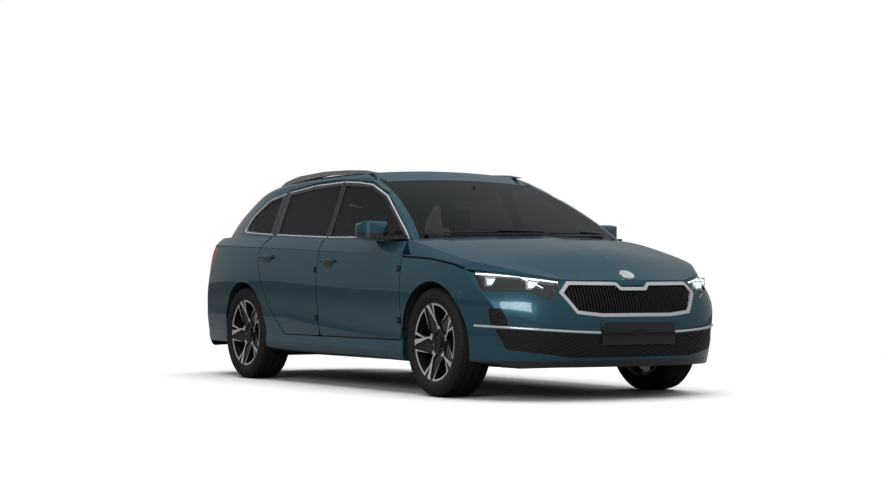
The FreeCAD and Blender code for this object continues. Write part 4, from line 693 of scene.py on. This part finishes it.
# ---------------------------------------------------------------- pieces
def trim_path(tree, corners, side):
    """Corners on the side of the car, laid on the skin."""
    path, last = [], None
    for x, z in resample(corners, 0.03):
        hit = side_hit(tree, x, z, side)
        if hit is None:
            continue
        if last is not None and abs(hit.y - last) > 0.02:
            hit = Vector((hit.x, last, hit.z))
        last = hit.y
        path.append(hit + Vector((0.0, side * 0.001, 0.0)))
    return path


class WAGON_OT_finishes(Operator):
    """Build the finishes and put them on the CAD nodes"""
    bl_idname = "wagon.finishes"
    bl_label = "Finishes"

    def execute(self, context):
        make_materials()
        dress_nodes()
        return {"FINISHED"}


class WAGON_OT_window_trim(Operator):
    """Lay the satin bright line round the side windows"""
    bl_idname = "wagon.window_trim"
    bl_label = "Window trim"

    def execute(self, context):
        radius = trim_settings().window_trim
        for name, side in SIDES:
            jobs = (("front_door", f"front_door_{name}", f"front_door_{name}"),
                    ("rear_door_base", f"rear_door_{name}", f"rear_door_{name}"),
                    ("rear_door_top", f"rear_door_{name}", f"rear_door_{name}"),
                    ("quarter", f"body_side_{name}", "body"))
            for line, node, body in jobs:
                path = trim_path(surface(node), TRIM_LINE[line], side)
                tube_along(f"window_trim_{line}_{name}", path, radius, body, "satin_chrome")
        return {"FINISHED"}


class WAGON_OT_front_trim(Operator):
    """Badge disc, bumper strip and blank number plate"""
    bl_idname = "wagon.front_trim"
    bl_label = "Front trim"

    def execute(self, context):
        size = trim_settings().badge_size / 2
        place, normal = surface("bonnet").ray_cast(Vector((2.8, 0.0, BADGE_Z)), Vector((-1.0, 0.0, 0.0)))[:2]
        disc = turned([(0.0, 0.0), (0.010, 0.0), (0.0102, size * 0.80), (0.0125, size * 0.86),
                       (0.0125, size * 0.94), (0.009, size), (-0.004, size), (-0.004, 0.0)], place, normal)
        finish_piece("badge_disc", mesh_from(disc, "badge_disc"), "bonnet", "chrome")
        tree = surface("front_bumper", "bumper_grilles")
        count = 21
        for name, side in SIDES:
            path = []
            for i in range(count + 1):
                y = side * (STRIP_Y[0] + (STRIP_Y[1] - STRIP_Y[0]) * i / count)
                z = 0.392 + 0.038 * ((abs(y) - STRIP_Y[0]) / (STRIP_Y[1] - STRIP_Y[0])) ** 1.4
                hit = front_hit(tree, y, z + 0.012)
                if hit is not None:
                    path.append(Vector((hit.x + 0.001, y, z + 0.006)))
            tube_along(f"bumper_strip_{name}", path, 0.0075, "body", "chrome")
        plate = block((0.006, 2 * PLATE_HALF[0], 2 * PLATE_HALF[1]), PLATE_AT, 0.0025, 2)
        finish_piece("front_plate", mesh_from(plate, "front_plate"), "body", "gloss_black")
        return {"FINISHED"}


class WAGON_OT_handles(Operator):
    """Door handles over thin dark sheets on the skin, painted shade for their recesses"""
    bl_idname = "wagon.handles"
    bl_label = "Door handles"

    def execute(self, context):
        length = trim_settings().handle_length
        for name, side in SIDES:
            for row, x, z in HANDLE_PLACES:
                body = f"{row}_door_{name}"
                tree = surface(body)
                skin = side_hit(tree, x, z, side)
                # painted shade: a thin gloss-black shell on the skin where the handle's recess would lie in
                # shade
                recess_shade = turned([(0.0010, 0.0), (0.0012, 0.8), (0.0004, 1.0), (-0.004, 1.0)], (0, 0, 0),
                             (0, side, 0))
                bmesh.ops.scale(recess_shade, vec=(length * 0.42, 1.0, 0.031), verts=recess_shade.verts)
                bmesh.ops.translate(recess_shade, vec=(x - 0.004, skin.y, z - 0.010), verts=recess_shade.verts)
                for vert in recess_shade.verts:
                    hit = side_hit(tree, vert.co.x, vert.co.z, side)
                    if hit is not None:
                        vert.co.y += hit.y - skin.y
                finish_piece(f"handle_recess_shade_{row}_{name}", mesh_from(recess_shade, "recess_shade"), body, "gloss_black")
                grip = block((length, 0.016, 0.026), (x, skin.y + side * 0.022, z + 0.006), 0.0075, 4)
                feet = [block((0.030, 0.030, 0.020), (x + d, skin.y + side * 0.010, z + 0.006), 0.006, 3)
                        for d in (-length / 2 + 0.016, length / 2 - 0.016)]
                for vert in grip.verts:
                    t = (vert.co.x - x) / (length / 2)
                    vert.co.y -= side * 0.012 * t * t
                    vert.co.z -= 0.003 * t * t
                finish_piece(f"handle_{row}_{name}", mesh_from(merge(grip, *feet), "handle", False), body,
                             "panel_paint")
        return {"FINISHED"}


class WAGON_OT_brakes(Operator):
    """Brake discs behind the wheels"""
    bl_idname = "wagon.brakes"
    bl_label = "Brake discs"

    def execute(self, context):
        radius = trim_settings().disc_radius
        for name, side in SIDES:
            for row, axle in (("front", FRONT_AXLE), ("rear", REAR_AXLE)):
                rim = radius if row == "front" else radius * 0.88
                place = (axle.x, side * (WHEEL_MIDDLE - 0.016), axle.z)
                rings = []
                for low, high, inner, outer in ((-0.012, 0.012, 0.083, rim), (0.0, 0.028, 0.072, 0.085)):
                    loop = [(low, inner), (low, outer), (high, outer), (high, inner), (low, inner)]
                    rings.append(turned(loop, place, (0, side, 0), 96))
                finish_piece(f"brake_disc_{row}_{name}", mesh_from(merge(*rings), "disc"),
                             f"{row}_wheel_{name}", "disc_steel", smooth=False)
        return {"FINISHED"}


class WAGON_OT_lamps(Operator):
    """Light strips and modules behind the lamp lenses"""
    bl_idname = "wagon.lamps"
    bl_label = "Lamps"

    def execute(self, context):
        tree = surface("headlamp_lenses")
        for name, side in SIDES:
            for i, ends in enumerate(LAMP_STRIPS):
                path = []
                for y, z in resample(ends, 0.012):
                    hit = front_hit(tree, side * y, z)
                    if hit is not None:
                        path.append(hit + Vector((-0.014, 0.0, 0.0)))
                if len(path) > 1:
                    radius = 0.0052 if i < 2 else 0.0026
                    tube_along(f"light_strip_{i}_{name}", path, radius, "body", "led_white")
            for i, (y, z) in enumerate(LAMP_MODULES):
                hit = front_hit(tree, side * y, z)
                module = merge(block((0.016, 0.058, 0.034), hit + Vector((-0.030, 0.0, 0.0)), 0.004, 3))
                finish_piece(f"light_module_{i}_{name}", mesh_from(module, "module", False), "body",
                             "led_module")
                bars = [block((0.020, 0.074, 0.006), hit + Vector((-0.032, 0.0, dz)), 0.002, 2)
                        for dz in (0.024, -0.024)]
                bars += [block((0.020, 0.006, 0.054), hit + Vector((-0.032, dy, 0.0)), 0.002, 2)
                         for dy in (0.037, -0.037)]
                finish_piece(f"module_frame_{i}_{name}", mesh_from(merge(*bars), "frame", False), "body",
                             "chrome")
        return {"FINISHED"}


class WAGON_OT_wipers(Operator):
    """Wiper arms and blades on the windscreen"""
    bl_idname = "wagon.wipers"
    bl_label = "Wipers"

    def execute(self, context):
        tree = surface("fixed_windows")
        for name, start, end in WIPER_ENDS:
            blade, count = [], 16
            for i in range(count + 1):
                y = start + (end - start) * i / count
                hit = front_hit(tree, y, 0.990 + 0.010 * i / count)
                if hit is not None:
                    blade.append(hit + Vector((0.008, 0.0, 0.010)))
            tube_along(f"wiper_blade_{name}", blade, 0.005, "body", "grained_black")
            arm = [p + Vector((0.009, 0.0, 0.009 - 0.02 * k / count))
                   for k, p in enumerate(blade[count // 2:])]
            tube_along(f"wiper_arm_{name}", arm, 0.006, "body", "gloss_black")
        return {"FINISHED"}


class WAGON_OT_body_fillers(Operator):
    """Corner of the front bumper over the arch"""
    bl_idname = "wagon.body_fillers"
    bl_label = "Body fillers"

    def execute(self, context):
        bumper, fender = surface("front_bumper"), surface("front_fenders")
        x_low = FRONT_AXLE.x + math.sqrt(ARCH_REACH ** 2 - (BUMPER_TOP - FRONT_AXLE.z) ** 2)
        x_beside = BUMPER_EDGE + 0.004
        for name, side in SIDES:
            bm = bmesh.new()
            bmesh.ops.create_grid(bm, x_segments=14, y_segments=12, size=0.5)
            corner = side_hit(bumper, x_beside, BUMPER_TOP - 0.002, side)
            for vert in bm.verts:
                x = x_low + (BUMPER_EDGE - x_low) * (vert.co.x + 0.5)
                z_arch = FRONT_AXLE.z + math.sqrt(max(0.0, ARCH_REACH ** 2 - (x - FRONT_AXLE.x) ** 2))
                z = z_arch + (BUMPER_TOP - z_arch) * (vert.co.y + 0.5)
                above = side_hit(fender, x, BUMPER_TOP + 0.003, side)
                beside = side_hit(bumper, x_beside, z, side)
                vert.co = Vector((x, above.y + beside.y - corner.y, z))
            bmesh.ops.recalc_face_normals(bm, faces=bm.faces)
            mesh = mesh_from(bm, "arch_corner", False)
            if mesh.polygons[0].normal.y * side < 0:
                mesh.flip_normals()
            piece = finish_piece(f"bumper_arch_corner_{name}", mesh, "body", "panel_paint")
            thicken(piece, 0.004)
        return {"FINISHED"}


def gate_edge(z):
    """Half width of the tailgate at a height."""
    for (y0, z0), (y1, z1) in zip(TAILGATE_EDGE, TAILGATE_EDGE[1:]):
        if z <= z1:
            return y0 + (y1 - y0) * (z - z0) / (z1 - z0)
    return TAILGATE_EDGE[-1][0]


def corner_rows(side, heights, gate, wall, roof_end=-1.872):
    """For each height, the ends of the missing skin between the tailgate and the body side."""
    rows = []
    for z in heights:
        y_gate = gate_edge(z) - 0.012
        start = rear_hit(gate, side * y_gate, z)
        y_wall = gate_edge(z) + 0.012
        end = rear_hit(wall, side * y_wall, z)
        while end is None and y_wall < 0.76:
            y_wall += 0.002
            end = rear_hit(wall, side * y_wall, z)
        if start is None or end is None:
            continue
        y_in, y_out = gate_edge(z) + 0.0085, y_wall - 0.001
        if end.x > roof_end > start.x:
            part = (roof_end - start.x) / (end.x - start.x)
            y_out = min(y_out, y_gate + (y_wall - y_gate) * part)
        rows.append((z, y_gate, start.x, y_wall, end.x, y_in, max(y_out, y_in + 0.003)))
    return rows


def corner_patch(name, side, rows, shape):
    """Skin over those rows; shape gives how far the real corner lies behind a straight line."""
    bm = bmesh.new()
    last = len(rows) - 1
    bmesh.ops.create_grid(bm, x_segments=10, y_segments=last, size=0.5)
    for vert in bm.verts:
        z, y_gate, x_gate, y_wall, x_wall, y_in, y_out = rows[round((vert.co.y + 0.5) * last)]
        y = y_in + (y_out - y_in) * (vert.co.x + 0.5)
        part = (y - y_gate) / (y_wall - y_gate)
        x = x_gate + (x_wall - x_gate) * part + shape(y, y_gate, y_wall, part)
        vert.co = Vector((x, side * y, z))
    mesh = mesh_from(bm, name, False)
    if sum(p.normal.x for p in mesh.polygons) > 0:
        mesh.flip_normals()
    thicken(finish_piece(name, mesh, "body", "panel_paint"), 0.005)


class WAGON_OT_tail_corners(Operator):
    """Body skin beside the tailgate, below and above the tail lamps"""
    bl_idname = "wagon.tail_corners"
    bl_label = "Tail corners"

    def execute(self, context):
        gate = surface("tailgate", "tailgate_glass")
        lamp = surface("tailgate", "tail_lamps")
        for name, side in SIDES:
            wall = surface(f"body_side_{name}")

            def lamp_bend(y, y_gate, y_wall, part):
                first, last, here = (rear_near(lamp, side, min(v, LAMP_WALL_Y), LAMP_ROW_Z)
                                     for v in (y_gate, y_wall, y))
                return here - (first + (last - first) * part)

            def slight_crown(y, y_gate, y_wall, part):
                return -0.03 * part * (1 - part)

            for level, low, height, steps, shape in (("low", 0.6445, 0.1620, 12, lamp_bend),
                                                     ("high", 0.9700, 0.3600, 36, slight_crown)):
                rows = corner_rows(side, [low + height * i / steps for i in range(steps + 1)], gate, wall)
                corner_patch(f"tail_corner_{level}_{name}", side, rows, shape)
        return {"FINISHED"}


class WAGON_OT_mirrors(Operator):
    """Mirror glasses"""
    bl_idname = "wagon.mirrors"
    bl_label = "Mirror glasses"

    def execute(self, context):
        for name, side in SIDES:
            glass_pane = block((0.004, 0.150, 0.088), (0.6895, side * 0.915, 1.016), 0.0015, 2)
            finish_piece(f"mirror_glass_{name}", mesh_from(glass_pane, "glass", False), f"front_door_{name}",
                         "mirror_glass")
        return {"FINISHED"}


class WAGON_OT_cabin(Operator):
    """Interior mirror, displays, console and door rests"""
    bl_idname = "wagon.cabin"
    bl_label = "Cabin"

    def execute(self, context):
        mirror = block((0.030, 0.230, 0.062), (0.505, 0.0, 1.262), 0.012, 4)
        stalk = block((0.020, 0.020, 0.070), (0.515, 0.0, 1.305), 0.006, 2)
        finish_piece("interior_mirror", mesh_from(merge(mirror, stalk), "mirror", False), "body",
                     "grained_black")
        for name, size, place, bevel, lean in (
                ("centre_screen", (0.018, 0.300, 0.165), (0.735, 0.0, 0.965), 0.006, -10),
                ("driver_display", (0.020, 0.260, 0.110), (0.775, 0.37, 0.965), 0.008, -12)):
            panel = block(size, place, bevel, 3, Matrix.Rotation(math.radians(lean), 4, "Y"))
            finish_piece(name, mesh_from(panel, name, False), "body", "gloss_black")
        console = block((0.700, 0.210, 0.240), (0.170, 0.0, 0.352), 0.030, 4)
        lever = block((0.050, 0.040, 0.060), (0.330, 0.0, 0.490), 0.014, 4)
        rest = block((0.300, 0.180, 0.070), (-0.030, 0.0, 0.500), 0.024, 4)
        finish_piece("centre_console", mesh_from(merge(console, lever, rest), "console", False), "body",
                     "soft_trim")
        for name, side in SIDES:
            for row, x, length in (("front", 0.42, 0.62), ("rear", -0.42, 0.44)):
                body = f"{row}_door_{name}"
                hit = surface(body).ray_cast(Vector((x, 0.0, 0.74)), Vector((0.0, side, 0.0)))[0]
                arm = block((length, 0.050, 0.050), (x, hit.y - side * 0.024, 0.740), 0.016, 4)
                pocket = block((length * 0.9, 0.030, 0.110), (x, hit.y - side * 0.014, 0.475), 0.012, 3)
                finish_piece(f"door_rest_{row}_{name}", mesh_from(merge(arm, pocket), "rest", False), body,
                             "soft_trim")
        return {"FINISHED"}


def pad_shape(size):
    """A block with broad rounded edges, its middle at the origin."""
    return block(size, (0.0, 0.0, 0.0), min(size) * 0.32, 4)


def evaluated_mesh(obj):
    return bpy.data.meshes.new_from_object(obj.evaluated_get(bpy.context.evaluated_depsgraph_get()))


def stuffed(name, bm, cap, voxel=0.010, frames=20):
    """The shape swollen by cloth under pressure, with no point moved further than the cap."""
    obj = bpy.data.objects.new(name, mesh_from(bm, name))
    bpy.context.scene.collection.objects.link(obj)
    remesh = obj.modifiers.new("remesh", "REMESH")
    remesh.mode = "VOXEL"
    remesh.voxel_size = voxel
    even = evaluated_mesh(obj)
    obj.modifiers.clear()
    obj.data = even
    rest = [v.co.copy() for v in even.vertices]
    cloth = obj.modifiers.new("cloth", "CLOTH")
    cloth.settings.use_pressure = True
    cloth.settings.uniform_pressure_force = 4.0
    cloth.settings.quality = 4
    cloth.settings.tension_stiffness = 25
    cloth.settings.effector_weights.gravity = 0.0
    cloth.point_cache.frame_start = 1
    cloth.point_cache.frame_end = frames
    for step in range(1, frames + 1):
        bpy.context.scene.frame_set(step)
    swollen = evaluated_mesh(obj)
    obj.modifiers.clear()
    obj.data = swollen
    for vert, start in zip(swollen.vertices, rest):
        move = vert.co - start
        if move.length > cap:
            vert.co = start + move.normalized() * cap
    bpy.context.scene.frame_set(1)
    return obj


def sew(mesh, lines, depth=0.007, width=0.007):
    """Sewn channels: each line is a test giving the distance from a seam."""
    moves = []
    for vert in mesh.vertices:
        nearest = min(abs(line(vert.co)) for line in lines)
        pull = depth * math.exp(-(nearest / width) ** 2)
        moves.append(vert.co - vert.normal * pull)
    for vert, place in zip(mesh.vertices, moves):
        vert.co = place


class WAGON_OT_seats(Operator):
    """Padded seats in the place of the plain ones"""
    bl_idname = "wagon.seats"
    bl_label = "Seats"

    def execute(self, context):
        lean_front, lean_rear, flat = (Matrix.Rotation(math.radians(a), 4, "Y") for a in (-16.5, -18.0, -5.0))
        jobs = (
            ("front_cushion", (0.470, 0.440, 0.085), flat, (0.055, -SEAT_Y, 0.462), 0.14, 0.022),
            ("front_back", (0.100, 0.440, 0.520), lean_front, (-0.262, -SEAT_Y, 0.738), 0.055, 0.022),
            ("front_head", (0.060, 0.230, 0.140), lean_front, (-0.328, -SEAT_Y, 1.148), 0.045, 0.016),
            ("rear_cushion", (0.420, 1.090, 0.070), flat, (-0.790, 0.0, 0.448), 0.18, 0.020),
            ("rear_back", (0.080, 1.090, 0.480), lean_rear, (-1.070, 0.0, 0.720), 0.18, 0.018),
            ("rear_head", (0.050, 0.200, 0.110), lean_rear, (-1.148, 0.0, 1.058), 0.040, 0.014),
        )
        made = {}
        for name, size, turn, place, seam, cap in jobs:
            obj = stuffed(name, pad_shape(size), cap)
            mesh = obj.data
            lines = [lambda p, s=seam: abs(p.y) - s]
            if "head" not in name:
                along = 0 if "cushion" in name else 2
                lines += [lambda p, a=along, c=c * size[along]: p[a] - c for c in (-0.18, 0.16)]
            sew(mesh, lines)
            mesh.transform(Matrix.Translation(place) @ turn)
            mesh.update()
            bpy.data.objects.remove(obj)
            made[name] = mesh
        for name, side in SIDES:
            for part in ("front_cushion", "front_back", "front_head"):
                mesh = made[part].copy()
                if side > 0:
                    mesh.transform(Matrix.Diagonal((1.0, -1.0, 1.0, 1.0)))
                    mesh.flip_normals()
                self.place(f"{part}_{name}", mesh, "front_seats")
            self.shell(f"front_seat_shell_{name}", side)
        for part in ("rear_cushion", "rear_back"):
            self.place(part, made[part], "rear_seat")
        for i, y in enumerate((-SEAT_Y, 0.0, SEAT_Y)):
            mesh = made["rear_head"].copy()
            mesh.transform(Matrix.Translation((0.0, y, 0.0)))
            self.place(f"rear_head_{i}", mesh, "rear_seat")
        return {"FINISHED"}

    def place(self, name, mesh, node):
        """A pad in the place of the plain seat."""
        piece = finish_piece(name, mesh, "body", "cloth")
        smooth = piece.modifiers.new("smooth", "SUBSURF")
        smooth.levels = smooth.render_levels = 1
        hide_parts(node)

    def shell(self, name, side):
        """Base, back board and head posts that carry the pads."""
        y = side * SEAT_Y
        lean = Matrix.Rotation(math.radians(-16.5), 4, "Y")
        base = block((0.420, 0.400, 0.130), (0.030, y, 0.296), 0.020, 3)
        rail = [block((0.480, 0.030, 0.030), (0.030, y + d, 0.242), 0.006, 2) for d in (-0.170, 0.170)]
        board = block((0.020, 0.400, 0.500), (-0.325, y, 0.745), 0.008, 3, lean)
        posts = [turned([(-0.060, 0.0), (-0.060, 0.006), (0.060, 0.006), (0.060, 0.0)],
                        (-0.308, y + d, 1.045), (-0.28, 0.0, 0.96), 16) for d in (-0.055, 0.055)]
        piece = finish_piece(name, mesh_from(merge(base, *rail, board, *posts), name, False), "body",
                             "grained_black")
        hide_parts("front_seats")


class WAGON_OT_stage(Operator):
    """Floor, soft lamps, world and camera"""
    bl_idname = "wagon.stage"
    bl_label = "Stage"

    def execute(self, context):
        settings = context.scene.wagon_stage
        bm = bmesh.new()
        bmesh.ops.create_grid(bm, x_segments=1, y_segments=1, size=60.0)
        floor = bpy.data.objects.new("floor", mesh_from(bm, "floor", False))
        context.scene.collection.objects.link(floor)
        material, tree, shader, position, _ = new_material("floor")
        grain = use_group(tree, "surface_grain", Position=position, Fine=60.0, Slow=0.4)
        base = tuple(settings.floor_color)
        rays = put(tree, "ShaderNodeLightPath")
        oval = vector_math(tree, "MULTIPLY", position, (0.62, 1.0, 1.0))[0]
        away = vector_math(tree, "LENGTH", oval)["Value"]
        far = math_node(tree, "MULTIPLY", ramp(tree, away, 1.7, 4.2), rays.outputs["Is Camera Ray"])
        pale = mix_color(tree, grain["Mottle"], tuple(c * 0.99 for c in base), base)
        dim = mix_color(tree, rays.outputs["Is Camera Ray"], (0.16, 0.16, 0.165), pale)
        feed(tree, shader, Base_Color=mix_color(tree, far, dim, (0.0, 0.0, 0.0)), Roughness=0.9,
             Specular_IOR_Level=0.1, Emission_Color=(1.0, 1.0, 1.0), Emission_Strength=far)
        floor.data.materials.append(material)

        world = bpy.data.worlds.new("studio")
        context.scene.world = world
        world.use_nodes = True
        tree = world.node_tree
        back = tree.nodes["Background"]
        rays = put(tree, "ShaderNodeLightPath")
        seen = math_node(tree, "MAXIMUM", rays.outputs["Is Camera Ray"], rays.outputs["Is Transmission Ray"])
        tree.links.new(mix_color(tree, seen, (0.22, 0.23, 0.24), (1.0, 1.0, 1.0)), back.inputs["Color"])
        back.inputs["Strength"].default_value = 1.0

        def softbox(name, place, aim, size, power, mirrored=True):
            light = bpy.data.lights.new(name, "AREA")
            light.shape = "RECTANGLE"
            light.size, light.size_y = size
            light.energy = power
            lamp = bpy.data.objects.new(name, light)
            lamp.visible_glossy = mirrored
            context.scene.collection.objects.link(lamp)
            lamp.location = place
            lamp.rotation_euler = (Vector(aim) - Vector(place)).to_track_quat("-Z", "Y").to_euler()

        softbox("overhead", (0.0, 0.0, 6.5), (0.0, 0.0, 0.0), (14.0, 9.0), settings.key_power, False)
        softbox("front_side", (6.5, -7.0, 3.8), (0.6, -0.5, 0.7), (4.0, 3.0), settings.side_power)
        softbox("far_side", (-2.5, 7.5, 4.5), (0.3, 0.5, 0.8), (5.0, 3.0), settings.side_power, False)

        level = math.cos(EYE_PITCH)
        look = Vector((math.cos(EYE_YAW) * level, math.sin(EYE_YAW) * level, math.sin(EYE_PITCH)))
        data = bpy.data.cameras.new("camera")
        data.sensor_width = 36.0
        data.lens = settings.lens
        data.clip_end = 200.0
        camera = bpy.data.objects.new("camera", data)
        context.scene.collection.objects.link(camera)
        camera.location = EYE
        camera.rotation_euler = look.to_track_quat("-Z", "Y").to_euler()
        context.scene.camera = camera
        context.scene.view_settings.view_transform = "Standard"
        return {"FINISHED"}


class WAGON_PT_panel(Panel):
    """Lists the steps that dress the station wagon"""
    bl_idname = "WAGON_PT_panel"
    bl_label = "Station wagon"
    bl_space_type = "VIEW_3D"
    bl_region_type = "UI"
    bl_category = "Wagon"

    def draw(self, context):
        layout = self.layout
        for group in (context.scene.wagon_finish, context.scene.wagon_trim, context.scene.wagon_stage):
            box = layout.box()
            for key in group.__annotations__:
                box.prop(group, key)
        for step in STEPS:
            layout.operator(step.bl_idname)


STEPS = (WAGON_OT_finishes, WAGON_OT_stage, WAGON_OT_window_trim, WAGON_OT_front_trim, WAGON_OT_handles,
         WAGON_OT_brakes, WAGON_OT_lamps, WAGON_OT_wipers, WAGON_OT_body_fillers, WAGON_OT_tail_corners,
         WAGON_OT_mirrors, WAGON_OT_cabin, WAGON_OT_seats)
CLASSES = (WAGON_PG_finish, WAGON_PG_trim, WAGON_PG_stage, *STEPS, WAGON_PT_panel)


def register():
    for item in CLASSES:
        bpy.utils.register_class(item)
    bpy.types.Scene.wagon_finish = PointerProperty(type=WAGON_PG_finish)
    bpy.types.Scene.wagon_trim = PointerProperty(type=WAGON_PG_trim)
    bpy.types.Scene.wagon_stage = PointerProperty(type=WAGON_PG_stage)


def unregister():
    del bpy.types.Scene.wagon_finish
    del bpy.types.Scene.wagon_trim
    del bpy.types.Scene.wagon_stage
    for item in reversed(CLASSES):
        bpy.utils.unregister_class(item)


def main():
    register()
    for step in STEPS:
        group, _, name = step.bl_idname.partition(".")
        if getattr(getattr(bpy.ops, group), name)() != {"FINISHED"}:
            raise RuntimeError(f"{step.bl_label} didn't finish")


if __name__ == "__main__":
    main()
